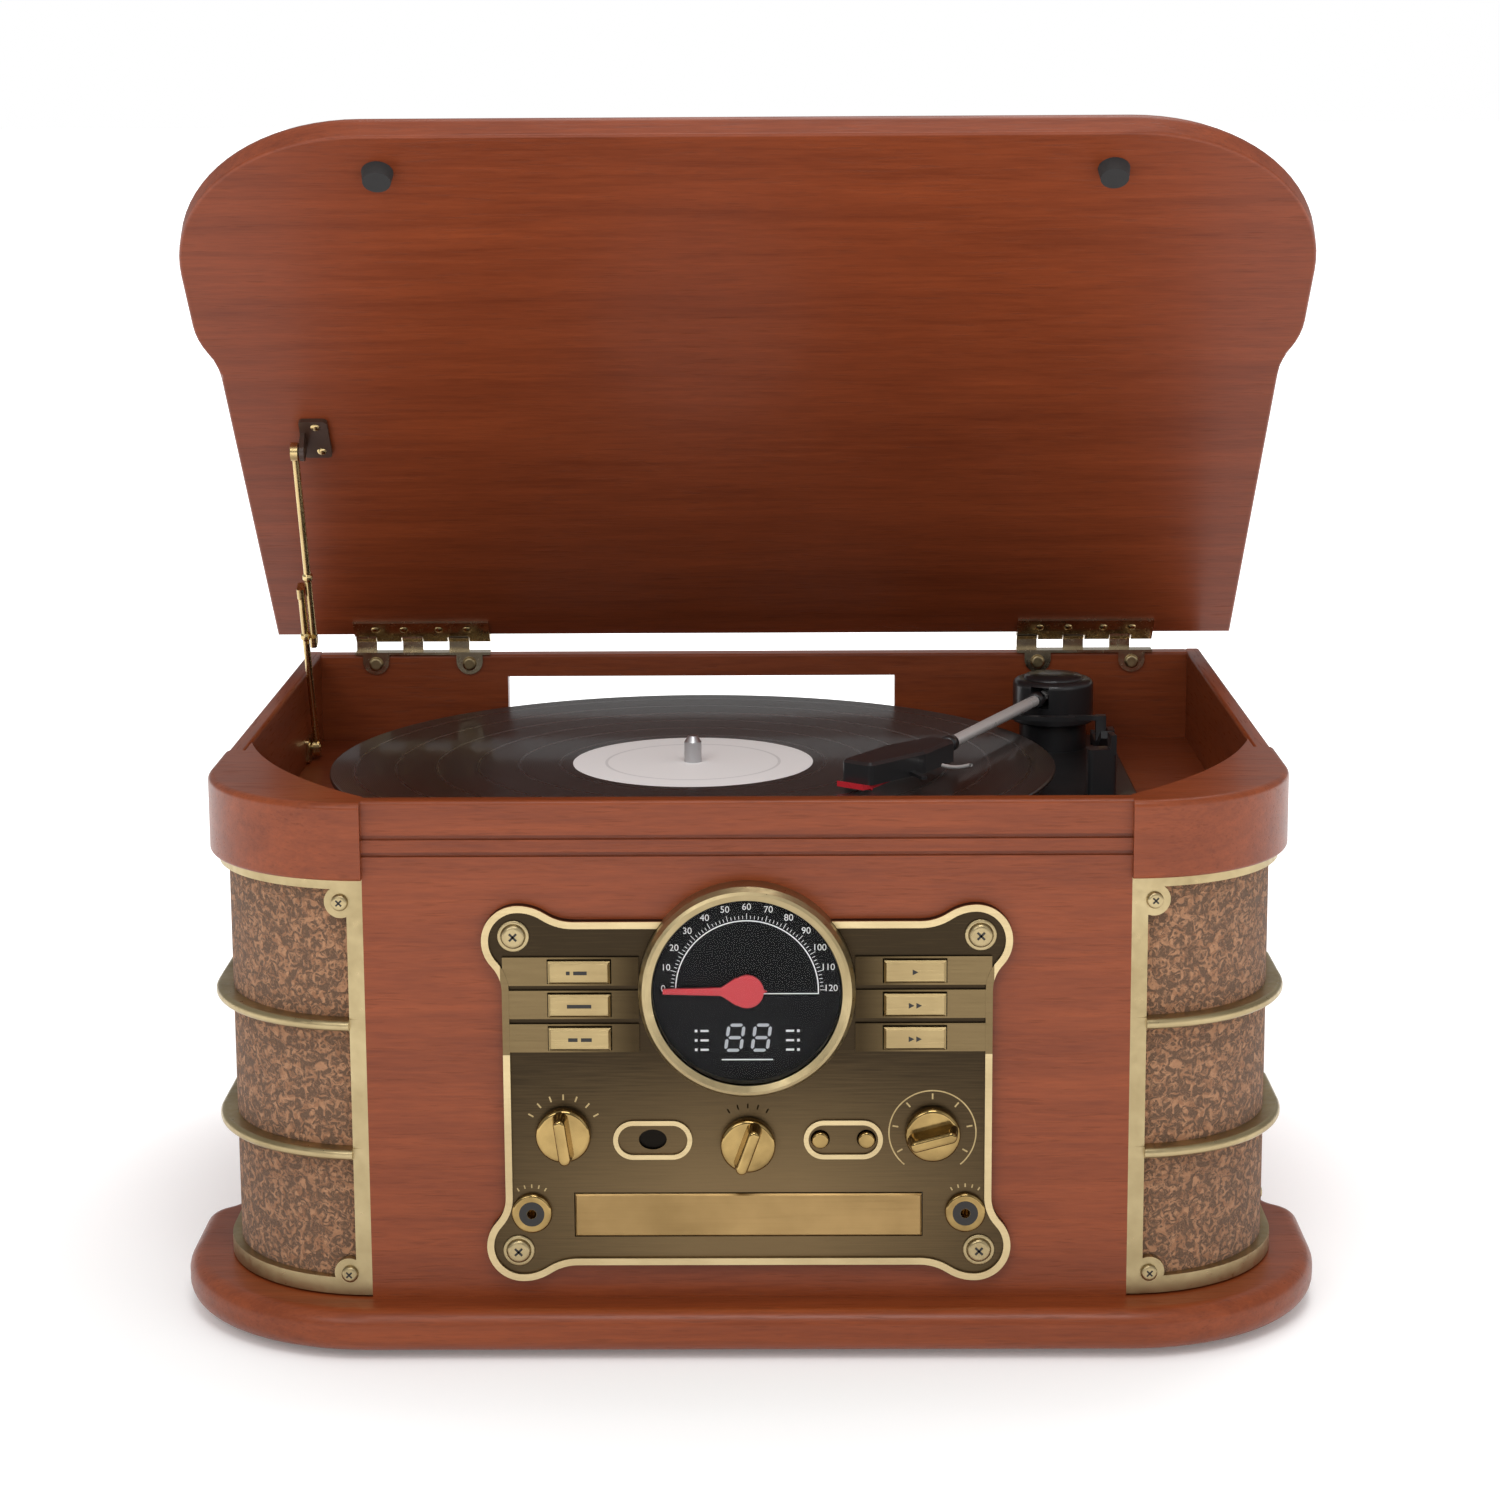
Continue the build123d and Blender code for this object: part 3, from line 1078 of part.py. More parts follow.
# Stylus: the red cartridge wedge under the front of the headshell
with BuildPart() as stylus:
    side_on = arm_plane(head_top - HEAD_H, TUBE_END, HEAD_TURN)
    with BuildSketch(Plane(origin=side_on.origin, x_dir=side_on.x_dir, z_dir=-side_on.y_dir)):
        tip_z = RECORD_Z + TIP_GAP - (head_top - HEAD_H)
        nose = HEAD_LEN + 4.0
        with BuildLine():
            Polyline((nose - STYLUS_LEN, 0), (nose - 4.0, 0), (nose, 1.0), (nose, tip_z + 1.2),
                     (nose - 5.0, tip_z + 0.9), (nose - 6.0, tip_z), (nose - 7.0, tip_z + 0.9),
                     (nose - STYLUS_LEN, tip_z + 1.8), close=True)
        make_face()
    extrude(amount=STYLUS_W / 2, both=True)
save(stylus, "stylus")

# Arm rest: a post beside the record with a stop for the parked tube
park = radians(-90.0 - ARM_ANGLE + ARM_PARK)
rest_xy = (ARM[0] + REST_REACH * cos(park), ARM[1] + REST_REACH * sin(park))
with BuildPart() as arm_rest:
    rest_plane = Plane(origin=(rest_xy[0], rest_xy[1], CHASSIS_Z),
                       x_dir=(cos(park), sin(park), 0), z_dir=(0, 0, 1))
    with BuildSketch(rest_plane):
        RectangleRounded(8.0, 12.0, 2.0)
    extrude(amount=TUBE_Z - TUBE_R - 0.5 - CHASSIS_Z)
    with BuildSketch(rest_plane.offset(TUBE_Z - TUBE_R - 3.0 - CHASSIS_Z)):
        with Locations((0, TUBE_R + 0.8 + 1.2)):
            Rectangle(8.0, 2.4)
    extrude(amount=2 * TUBE_R + 3.5)
save(arm_rest, "arm_rest")

# Cue lever: shaft, blade with its finger pad, and the rail that lifts the tube
rail_top = TUBE_Z - TUBE_R - RAIL_GAP
with BuildPart() as cue_lever:
    with BuildSketch(Plane(origin=CUE, x_dir=(0, 1, 0), z_dir=(1, 0, 0))):
        Circle(CUE_SHAFT_R)
    extrude(amount=7.5)
    with BuildSketch(Plane(origin=CUE, x_dir=(0, 1, 0), z_dir=(1, 0, 0))):
        Circle(3.4)
        with BuildLine():
            Polyline((2.0, 2.4), (-22.0, 2.4), (-30.0, 5.0), (-46.0, 12.0), (-47.0, 9.0),
                     (-30.0, 1.5), (-22.0, -1.2), (2.0, -1.8), close=True)
        make_face()
    extrude(amount=2.2, both=True)
    with BuildSketch(Plane(origin=CUE, x_dir=(0, 1, 0), z_dir=(1, 0, 0))):
        with Locations((-22.0, 0)):
            with Locations((0, (rail_top - CUE[2]) / 2)):
                Rectangle(RAIL_W, rail_top - CUE[2])
    extrude(amount=2.2, both=True)
    with BuildSketch(Plane.XY.offset(rail_top - RAIL_T)):
        rail_arc = (-90.0 - 41.0, -90.0 + 9.0)
        with BuildLine():
            outer = CenterArc(ARM, RAIL_R + RAIL_W / 2, rail_arc[0], rail_arc[1] - rail_arc[0])
            inner = CenterArc(ARM, RAIL_R - RAIL_W / 2, rail_arc[0], rail_arc[1] - rail_arc[0])
            Line(outer @ 0, inner @ 0)
            Line(outer @ 1, inner @ 1)
        make_face()
        with Locations(((ARM[0] + CUE[0]) / 2 + 3.0, CUE[1] - 22.0 - 0.8)):
            Rectangle(CUE[0] - ARM[0] - 2.0, RAIL_W - 1.0)
    extrude(amount=RAIL_T)
save(cue_lever, "cue_lever")

# Speed switch: a slider in its slot
with BuildPart() as speed_switch:
    with BuildSketch(Plane.XY.offset(DECK_Z + 0.4)):
        with Locations(SWITCH):
            Rectangle(SWITCH_W, SWITCH_L)
    extrude(amount=CHASSIS_T)
    with BuildSketch(Plane.XY.offset(CHASSIS_Z + 0.4)):
        with Locations(SWITCH):
            RectangleRounded(SWITCH_W + 4.0, SWITCH_L + 4.0, 1.5)
    extrude(amount=2.0)
    with BuildSketch(Plane.XY.offset(CHASSIS_Z + 2.4)):
        with Locations(SWITCH):
            RectangleRounded(SWITCH_W + 1.0, SWITCH_L - 1.0, 1.2)
    extrude(amount=5.0)
save(speed_switch, "speed_switch")

# Lid, in the plane that it lies in when the stay holds it open
lid_up = (0, sin(radians(LID_ANGLE)), cos(radians(LID_ANGLE)))
lid_plane = Plane(origin=(0, PIN_Y, PIN_Z), x_dir=(1, 0, 0), z_dir=lid_up)
with BuildPart() as lid:
    with BuildSketch(lid_plane.offset(-LID_BELOW_PIN)):
        bulged_plan(LID_BULGE_W, LID_FRONT, LID_CORNER_R, FRONT_Y + LID_BULGE_END - PIN_Y,
                    LID_HALF_W, LID_BLEND, -LID_REAR)
    extrude(amount=LID_T)
    outer_face = lid.faces().sort_by(Axis(lid_plane.origin, lid_plane.z_dir))[-1]
    fillet(outer_face.edges(), LID_EDGE_R)
    inner_face = lid.faces().sort_by(Axis(lid_plane.origin, lid_plane.z_dir))[0]
    fillet(inner_face.edges(), 1.2)
save(lid, "lid")

with BuildPart() as lid_bumpers:
    with BuildSketch(lid_plane.offset(-LID_BELOW_PIN)):
        with Locations((-BUMPER_X, -BUMPER_REACH), (BUMPER_X, -BUMPER_REACH)):
            Circle(BUMPER_R)
    extrude(amount=-(PIN_UP - LID_BELOW_PIN - BUMPER_GAP), taper=8)
save(lid_bumpers, "lid_bumpers")

# Hinges: base leaves with their pins wrap over the back panel, lid leaves hang on the pins
pin_axis_plane = Plane(origin=(0, PIN_Y, PIN_Z), x_dir=(0, 1, 0), z_dir=(1, 0, 0))
wall_in = BACK_Y - BACK_T
with BuildPart() as hinge_base_leaves:
    for side in (-1, 1):
        hinge = side * HINGE_X
        with BuildSketch(Plane.XY.offset(RIM_Z)):
            with Locations((hinge, (wall_in - LEAF_T + PIN_Y + 1.2) / 2)):
                Rectangle(HINGE_W, PIN_Y + 1.2 - wall_in + LEAF_T)
        extrude(amount=LEAF_T)
        with BuildSketch(Plane(origin=(hinge, wall_in, 0), x_dir=(1, 0, 0), z_dir=(0, -1, 0))):
            with Locations((-TAB_X, RIM_Z + LEAF_T / 2), (TAB_X, RIM_Z + LEAF_T / 2)):
                SlotOverall(2 * TAB_DROP + LEAF_T, TAB_W, rotation=90)
            with Locations((0, RIM_Z + LEAF_T + TAB_DROP)):
                Rectangle(HINGE_W, 2 * TAB_DROP, mode=Mode.SUBTRACT)
        extrude(amount=LEAF_T)
        for finger in FINGER_XS:
            with BuildSketch(Plane.XY.offset(RIM_Z + LEAF_T)):
                with Locations((hinge + finger, PIN_Y)):
                    Rectangle(FINGER_W, 1.4)
            extrude(amount=PIN_UP - LEAF_T)
            with BuildSketch(pin_axis_plane.offset(hinge + finger - FINGER_W / 2)):
                Circle(KNUCKLE_R)
            extrude(amount=FINGER_W)
        with BuildSketch(pin_axis_plane.offset(hinge - HINGE_W / 2)):
            Circle(HINGE_PIN_R)
        extrude(amount=HINGE_W)
save(hinge_base_leaves, "hinge_base_leaves")

finger_ends = [x + d * (FINGER_W / 2 + MOVE_GAP) for x in FINGER_XS for d in (-1, 1)]
knuckle_spans = list(zip(finger_ends[1::2], [*finger_ends[2::2], HINGE_W / 2]))
with BuildPart() as hinge_lid_leaves:
    for side in (-1, 1):
        hinge = side * HINGE_X
        with BuildSketch(lid_plane.offset(-LID_BELOW_PIN)):
            with Locations((hinge, -(LID_REAR + LEAF_DEPTH) / 2)):
                Rectangle(HINGE_W, LID_REAR + LEAF_DEPTH)
            for finger in FINGER_XS:
                with Locations((hinge + finger, 0)):
                    Rectangle(FINGER_W + 2 * MOVE_GAP, 2 * (KNUCKLE_R + 1.0), mode=Mode.SUBTRACT)
            with Locations((hinge - HINGE_W / 2, 0)):
                Rectangle(2.0, 2 * (KNUCKLE_R + 1.0), mode=Mode.SUBTRACT)
        extrude(amount=-LEAF_T)
        for start, end in knuckle_spans:
            with BuildSketch(pin_axis_plane.offset(hinge + start)):
                Circle(KNUCKLE_R)
            extrude(amount=end - start)
    for side in (-1, 1):
        with BuildSketch(pin_axis_plane.offset(side * HINGE_X - HINGE_W / 2)):
            Circle(HINGE_PIN_R + RUN_GAP)
        extrude(amount=HINGE_W, mode=Mode.SUBTRACT)
save(hinge_lid_leaves, "hinge_lid_leaves")

# Lid stay: two rods that slide past each other, one pivoted on the lid, one on the side panel
lean = radians(LID_ANGLE)
stay_top = Vector(-STAY_X,
                  PIN_Y - STAY_REACH * cos(lean) - STAY_BELOW_PIN * sin(lean),
                  PIN_Z + STAY_REACH * sin(lean) - STAY_BELOW_PIN * cos(lean))
stay_foot = Vector(-STAY_X - ROD_PITCH, FRONT_Y + STAY_FOOT_BACK, DECK_Z + STAY_FOOT_UP)
stay_aim = Vector(0, stay_foot.Y - stay_top.Y, stay_foot.Z - stay_top.Z).normalized()
for name, start, aim, length in (("stay_upper_rod", stay_top, stay_aim, UPPER_ROD),
                                 ("stay_lower_rod", stay_foot, stay_aim * -1, LOWER_ROD)):
    with BuildPart() as rod:
        with BuildSketch(Plane(origin=start, x_dir=(1, 0, 0), z_dir=aim)):
            Circle(STAY_ROD_R)
        extrude(amount=length)
        with BuildSketch(Plane(origin=start + aim * (length - 5.0), x_dir=(1, 0, 0), z_dir=aim)):
            RectangleRounded(2 * STAY_ROD_R, 6.4, 1.2)
        extrude(amount=5.0)
        with BuildSketch(Plane(origin=start, x_dir=(0, 1, 0), z_dir=(1, 0, 0))):
            Circle(EYE_R)
        extrude(amount=STAY_ROD_R, both=True)
        with BuildSketch(Plane(origin=start, x_dir=(0, 1, 0), z_dir=(1, 0, 0))):
            Circle(STAY_PIN_R + RUN_GAP)
        extrude(amount=STAY_ROD_R + 1.0, both=True, mode=Mode.SUBTRACT)
    save(rod, name)

lug_x = -STAY_X + STAY_ROD_R + 0.7
with BuildPart() as stay_lid_bracket:
    with BuildSketch(lid_plane.offset(-LID_BELOW_PIN)):
        with Locations((lug_x + 6.0, -STAY_REACH)):
            RectangleRounded(12.0, 24.0, 2.0)
    extrude(amount=-2.0)
    with BuildSketch(Plane(origin=(lug_x, stay_top.Y, stay_top.Z), x_dir=(0, 1, 0),
                           z_dir=(1, 0, 0))):
        with BuildLine():
            lug_root = STAY_BELOW_PIN - LID_BELOW_PIN - 1.0
            up_y, up_z = sin(lean), cos(lean)
            Polyline((-4 * up_z, 4 * up_y), (4 * up_z, -4 * up_y),
                     (5 * up_z + lug_root * up_y, -5 * up_y + lug_root * up_z),
                     (-5 * up_z + lug_root * up_y, 5 * up_y + lug_root * up_z), close=True)
        make_face()
        Circle(4.0)
    extrude(amount=2.0)
    with BuildSketch(Plane(origin=(lug_x, stay_top.Y, stay_top.Z), x_dir=(0, 1, 0),
                           z_dir=(-1, 0, 0))):
        Circle(STAY_PIN_R)
    extrude(amount=2 * STAY_ROD_R + 1.1)
save(stay_lid_bracket, "stay_lid_bracket")

with BuildPart() as stay_wall_bracket:
    with BuildSketch(Plane(origin=(-INNER_W, stay_foot.Y, stay_foot.Z), x_dir=(0, 1, 0),
                           z_dir=(1, 0, 0))):
        RectangleRounded(22.0, 2 * STAY_FOOT_UP - 1.0, 2.0)
    extrude(amount=INNER_W - STAY_X - ROD_PITCH - STAY_ROD_R - 0.6)
    with BuildSketch(Plane(origin=(-INNER_W, stay_foot.Y, stay_foot.Z), x_dir=(0, 1, 0),
                           z_dir=(1, 0, 0))):
        Circle(STAY_PIN_R)
    extrude(amount=INNER_W - STAY_X - ROD_PITCH + STAY_ROD_R + 0.1)
save(stay_wall_bracket, "stay_wall_bracket")
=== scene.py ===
"""Looks of the record player: its finishes, its speaker cloth and the printed and small metal
detail that the solids leave plain. Metres, X to the right, Y to the back, Z up."""

from math import cos, pi, radians, sin

import bpy
import numpy as np
from mathutils import Matrix, Vector


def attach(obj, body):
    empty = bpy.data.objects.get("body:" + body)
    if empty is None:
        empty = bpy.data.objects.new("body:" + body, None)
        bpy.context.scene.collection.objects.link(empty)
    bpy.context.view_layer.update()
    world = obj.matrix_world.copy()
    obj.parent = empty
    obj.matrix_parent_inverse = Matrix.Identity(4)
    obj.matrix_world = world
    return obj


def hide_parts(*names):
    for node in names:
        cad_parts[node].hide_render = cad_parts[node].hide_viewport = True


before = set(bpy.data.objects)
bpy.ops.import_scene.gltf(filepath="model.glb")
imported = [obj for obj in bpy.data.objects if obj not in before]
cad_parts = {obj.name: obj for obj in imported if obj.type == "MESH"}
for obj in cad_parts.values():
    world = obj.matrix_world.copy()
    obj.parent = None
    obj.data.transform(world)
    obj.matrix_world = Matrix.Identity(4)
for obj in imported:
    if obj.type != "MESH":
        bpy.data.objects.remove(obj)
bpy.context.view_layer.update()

MM = 0.001

# The front of the cabinet and the faces that stand before it
FRONT_Y = -153 * MM
PLATE_FACE_Y = FRONT_Y - 3 * MM
PLATE_Y = FRONT_Y - 3.03 * MM           # print on the control plate
JACK_SHADE_Y = FRONT_Y - 5.45 * MM            # painted shade on the sockets
PRINT_Y = FRONT_Y - 6.55 * MM           # print on the dial face
BUTTON_Y = FRONT_Y - 6.65 * MM          # print on the buttons

# Control plate, in the plane of the front
DIAL_Z = 140.9 * MM
SCALE_ARC_R = 26.3 * MM
NUMBERS_R = 30.9 * MM
KNOB_X, KNOB_Z = 68.7 * MM, 84.8 * MM
TUNING_KNOB_Z = 80.8 * MM
JACK_X, JACK_Z = 81 * MM, 54 * MM
BUTTON_X = 62 * MM
BUTTON_ROWS = {"top": 147.4 * MM, "middle": 134.7 * MM, "bottom": 121.9 * MM}
PLATE_SCREW_X = 86.2 * MM
PLATE_SCREW_ZS = ((99.9 - 60.8) * MM, (99.9 + 60.8) * MM)
BARS_HALF_W = 91.2 * MM
BARS_Z = (115.5 * MM, 153.5 * MM)

# Rounded columns with their cloth and grilles
COLUMN = (142 * MM, -91 * MM)
CLOTH_R = 58.4 * MM
CLOTH_END_Y = -61 * MM
CLOTH_Z = (21.5 * MM, 179.5 * MM)
CLOTH_ROWS, CLOTH_COLUMNS = 70, 90
GRILLE_R = 62 * MM
GRILLE_SCREW_X = 150.4 * MM
GRILLE_SCREW_ZS = (28.6 * MM, 172.8 * MM)

# Player and lid
SPINDLE = (-24 * MM, 12 * MM)
ARM_PIVOT = (135 * MM, 124 * MM, 199 * MM)
ARM_HEADING = radians(-90 - 24.3)
PIN = (163 * MM, 219.5 * MM)
LID_LEAN = radians(45)
HINGE_X = 152 * MM
STAY_FOOT = (-195.5 * MM, 113 * MM, 177 * MM)


# ---------------------------------------------------------------- meshes


def grid_faces(rows, columns, close_columns=False):
    """Quads that join each point of a grid to its neighbours, the last column to the first
    where close_columns is set."""
    r = np.arange(rows - 1)[:, None]
    c = np.arange(columns if close_columns else columns - 1)[None, :]
    n = (c + 1) % columns
    return np.stack([r * columns + c, r * columns + n, (r + 1) * columns + n,
                     (r + 1) * columns + c], -1).reshape(-1, 4)


def piece(name, points, faces, material, body, smooth=False):
    """A mesh object at the origin from an array of points and an array of faces."""
    mesh = bpy.data.meshes.new(name)
    mesh.from_pydata(np.asarray(points, float).reshape(-1, 3).tolist(), [],
                     [list(f) for f in faces])
    mesh.update()
    mesh.polygons.foreach_set("use_smooth", [smooth] * len(mesh.polygons))
    mesh.materials.append(material)
    thing = bpy.data.objects.new(name, mesh)
    bpy.context.scene.collection.objects.link(thing)
    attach(thing, body)
    return thing


def gather(parts):
    """One array of points and one list of faces from several, each part's indices moved on."""
    start, points, faces = 0, [], []
    for part_points, part_faces in parts:
        part_points = np.asarray(part_points, float).reshape(-1, 3)
        points.append(part_points)
        faces += [[int(i) + start for i in f] for f in part_faces]
        start += len(part_points)
    return np.concatenate(points), faces


def on_front(flat, y, centre=(0.0, 0.0)):
    """Points (x, z) on the front of the cabinet as points in space, at depth y."""
    flat = np.asarray(flat, float).reshape(-1, 2)
    return np.stack([flat[:, 0] + centre[0], np.full(len(flat), y), flat[:, 1] + centre[1]], -1)


def ring_band(radius, width, start, end, steps, y, centre):
    """Flat band between the radii r - w/2 and r + w/2, over the angles start to end."""
    a = np.linspace(radians(start), radians(end), steps)[None, :]
    r = np.array([radius - width / 2, radius + width / 2])[:, None]
    flat = np.stack([r * np.cos(a), r * np.sin(a)], -1)
    return on_front(flat, y, centre), grid_faces(2, steps)[:, ::-1]


def bar(x, z, length, width, angle, y):
    """Flat bar: a rectangle turned by an angle about its middle."""
    corners = np.array([(-1, -1), (1, -1), (1, 1), (-1, 1)]) * (length / 2, width / 2)
    c, s = cos(angle), sin(angle)
    flat = corners @ np.array([(c, s), (-s, c)])
    return on_front(flat, y, (x, z)), [(0, 1, 2, 3)]


def lettering(text, height, x, z, y):
    """Plain characters as a flat mesh on the front: the font's outline filled, then placed."""
    curve = bpy.data.curves.new("characters", "FONT")
    curve.body, curve.size = text, height
    curve.align_x, curve.align_y = "CENTER", "CENTER"
    holder = bpy.data.objects.new("characters", curve)
    bpy.context.scene.collection.objects.link(holder)
    bpy.context.view_layer.update()
    mesh = bpy.data.meshes.new_from_object(holder.evaluated_get(
        bpy.context.evaluated_depsgraph_get()))
    points = np.empty(len(mesh.vertices) * 3)
    mesh.vertices.foreach_get("co", points)
    points = points.reshape(-1, 3)
    faces = [tuple(p.vertices) for p in mesh.polygons]
    bpy.data.objects.remove(holder)
    bpy.data.curves.remove(curve)
    bpy.data.meshes.remove(mesh)
    return on_front(points[:, :2], y, (x, z)), faces


def turned(profile, axis_point, axis, steps=28):
    """Surface of revolution: each (radius, height) of the profile goes once round the axis."""
    axis = Vector(axis).normalized()
    side = axis.orthogonal().normalized()
    across = axis.cross(side)
    a = np.linspace(0, 2 * pi, steps, endpoint=False)[None, :, None]
    profile = np.asarray(profile, float)
    r, h = profile[:, 0][:, None, None], profile[:, 1][:, None, None]
    points = (np.array(axis_point) + h * np.array(axis)
              + r * (np.cos(a) * np.array(side) + np.sin(a) * np.array(across)))
    return points, grid_faces(len(profile), steps, True)


def tube(path, radius, steps=10):
    """Round wire: a circle carried along a path, square to the path's direction."""
    path = np.asarray(path, float)
    ahead = np.gradient(path, axis=0)
    ahead /= np.linalg.norm(ahead, axis=1, keepdims=True)
    level = np.cross(ahead, (0.31, 0.17, 0.93))
    level /= np.linalg.norm(level, axis=1, keepdims=True)
    rise = np.cross(ahead, level)
    a = np.linspace(0, 2 * pi, steps, endpoint=False)[None, :, None]
    points = path[:, None] + radius * (np.cos(a) * level[:, None] + np.sin(a) * rise[:, None])
    return points, grid_faces(len(path), steps, True)


def lid_point(x, back, up):
    """A point of the open lid from its place on the lid: across, back from the hinge, up."""
    return (x, PIN[0] + back * cos(LID_LEAN) + up * sin(LID_LEAN),
            PIN[1] - back * sin(LID_LEAN) + up * cos(LID_LEAN))


# ---------------------------------------------------------------- shared effects


def effect(name, inputs, outputs):
    """An empty node group with named sockets. Returns the tree, its input and output nodes."""
    tree = bpy.data.node_groups.new(name, "ShaderNodeTree")
    for label, kind, value in inputs:
        socket = tree.interface.new_socket(label, in_out="INPUT", socket_type=kind)
        if value is not None:
            socket.default_value = value
    for label, kind in outputs:
        tree.interface.new_socket(label, in_out="OUTPUT", socket_type=kind)
    return tree, tree.nodes.new("NodeGroupInput"), tree.nodes.new("NodeGroupOutput")


def add(tree, kind, links=None, **values):
    """A node with attributes and socket values set, and its inputs linked."""
    node = tree.nodes.new(kind)
    for key, value in values.items():
        if hasattr(node, key):
            setattr(node, key, value)
        else:
            node.inputs[key.replace("_", " ")].default_value = value
    for key, source in (links or {}).items():
        tree.links.new(source, node.inputs[key])
    return node


def calc(tree, operation, a, b=None, clamp=False):
    """A Math node; a and b are sockets or numbers."""
    node = tree.nodes.new("ShaderNodeMath")
    node.operation, node.use_clamp = operation, clamp
    for i, value in enumerate((a, b)):
        if isinstance(value, bpy.types.NodeSocket):
            tree.links.new(value, node.inputs[i])
        elif value is not None:
            node.inputs[i].default_value = value
    return node.outputs[0]


def noise(tree, vector, scale, detail=3.0, roughness=0.5, distortion=0.0):
    """Output of a Noise texture on a vector."""
    node = add(tree, "ShaderNodeTexNoise", {"Vector": vector}, Scale=scale, Detail=detail,
               Roughness=roughness, Distortion=distortion)
    return node.outputs["Fac"]


def remap(tree, value, low, high, to_low=0.0, to_high=1.0):
    """A value brought from one range to another and clamped."""
    node = tree.nodes.new("ShaderNodeMapRange")
    tree.links.new(value, node.inputs["Value"])
    for label, number in (("From Min", low), ("From Max", high), ("To Min", to_low),
                          ("To Max", to_high)):
        node.inputs[label].default_value = number
    return node.outputs["Result"]


def blend_colours(tree, factor, first, second):
    """A colour Mix; first and second are sockets or colours."""
    node = tree.nodes.new("ShaderNodeMix")
    node.data_type = "RGBA"
    if isinstance(factor, bpy.types.NodeSocket):
        tree.links.new(factor, node.inputs[0])
    else:
        node.inputs[0].default_value = factor
    for i, colour in ((6, first), (7, second)):
        if isinstance(colour, bpy.types.NodeSocket):
            tree.links.new(colour, node.inputs[i])
        else:
            node.inputs[i].default_value = (*colour, 1.0)
    return node.outputs[2]


def make_grain():
    """Veneer grain: noise drawn out along the fibre, broad for figure and fine for pores."""
    tree, given, out = effect(
        "veneer_grain",
        [("Vector", "NodeSocketVector", None), ("Stretch", "NodeSocketVector", (14, 230, 230))],
        [("Figure", "NodeSocketFloat"), ("Pores", "NodeSocketFloat")])
    drawn = add(tree, "ShaderNodeVectorMath", {0: given.outputs[0], 1: given.outputs[1]},
                operation="MULTIPLY").outputs[0]
    figure = noise(tree, drawn, 0.35, 4.0, 0.6, 0.6)
    streak = noise(tree, drawn, 1.6, 5.0, 0.7, 0.3)
    pores = noise(tree, drawn, 4.5, 2.0, 0.6)
    both = calc(tree, "ADD", calc(tree, "MULTIPLY", figure, 0.35),
                calc(tree, "MULTIPLY", streak, 0.35))
    both = calc(tree, "ADD", both, calc(tree, "MULTIPLY", pores, 0.3))
    tree.links.new(remap(tree, both, 0.36, 0.64), out.inputs["Figure"])
    tree.links.new(remap(tree, pores, 0.56, 0.70), out.inputs["Pores"])
    return tree


def make_patina():
    """Metal finish: cloudy tarnish and fine scratches drawn out along one direction."""
    tree, given, out = effect(
        "patina",
        [("Vector", "NodeSocketVector", None), ("Stretch", "NodeSocketVector", (30, 900, 900)),
         ("Cloud", "NodeSocketFloat", 60.0)],
        [("Tarnish", "NodeSocketFloat"), ("Scratches", "NodeSocketFloat")])
    cloud = add(tree, "ShaderNodeTexNoise", {"Vector": given.outputs[0],
                                             "Scale": given.outputs[2]}, Detail=4.0)
    drawn = add(tree, "ShaderNodeVectorMath", {0: given.outputs[0], 1: given.outputs[1]},
                operation="MULTIPLY").outputs[0]
    tree.links.new(remap(tree, cloud.outputs["Fac"], 0.35, 0.7), out.inputs["Tarnish"])
    tree.links.new(noise(tree, drawn, 1.0, 3.0, 0.6), out.inputs["Scratches"])
    return tree


def make_speckle():
    """Fine moulded or painted surface: small grain for relief and a slow change of tone."""
    tree, given, out = effect(
        "moulded_speckle",
        [("Vector", "NodeSocketVector", None), ("Fineness", "NodeSocketFloat", 1400.0)],
        [("Grain", "NodeSocketFloat"), ("Tone", "NodeSocketFloat")])
    fine = add(tree, "ShaderNodeTexNoise", {"Vector": given.outputs[0],
                                            "Scale": given.outputs[1]}, Detail=2.0)
    tree.links.new(fine.outputs["Fac"], out.inputs["Grain"])
    tree.links.new(noise(tree, given.outputs[0], 25.0, 3.0), out.inputs["Tone"])
    return tree


GRAIN, PATINA, SPECKLE = make_grain(), make_patina(), make_speckle()


# ---------------------------------------------------------------- finishes


def finish(name, roughness, metallic=0.0, **plain):
    """A material with its Principled shader. Returns it, its tree, shader and coordinates."""
    material = bpy.data.materials.new(name)
    material.use_nodes = True
    tree = material.node_tree
    shader = tree.nodes["Principled BSDF"]
    shader.inputs["Roughness"].default_value = roughness
    shader.inputs["Metallic"].default_value = metallic
    for key, value in plain.items():
        shader.inputs[key.replace("_", " ")].default_value = value
    coords = tree.nodes.new("ShaderNodeTexCoord").outputs["Object"]
    return material, tree, shader, coords


def use(tree, group, links, **values):
    """A shared effect placed in a material."""
    node = tree.nodes.new("ShaderNodeGroup")
    node.node_tree = group
    for key, source in links.items():
        tree.links.new(source, node.inputs[key])
    for key, value in values.items():
        node.inputs[key].default_value = value
    return node.outputs


def relief(tree, shader, height, distance, strength=1.0):
    """A Bump node on the shader's normal."""
    bump = add(tree, "ShaderNodeBump", {"Height": height}, Distance=distance, Strength=strength)
    tree.links.new(bump.outputs[0], shader.inputs["Normal"])


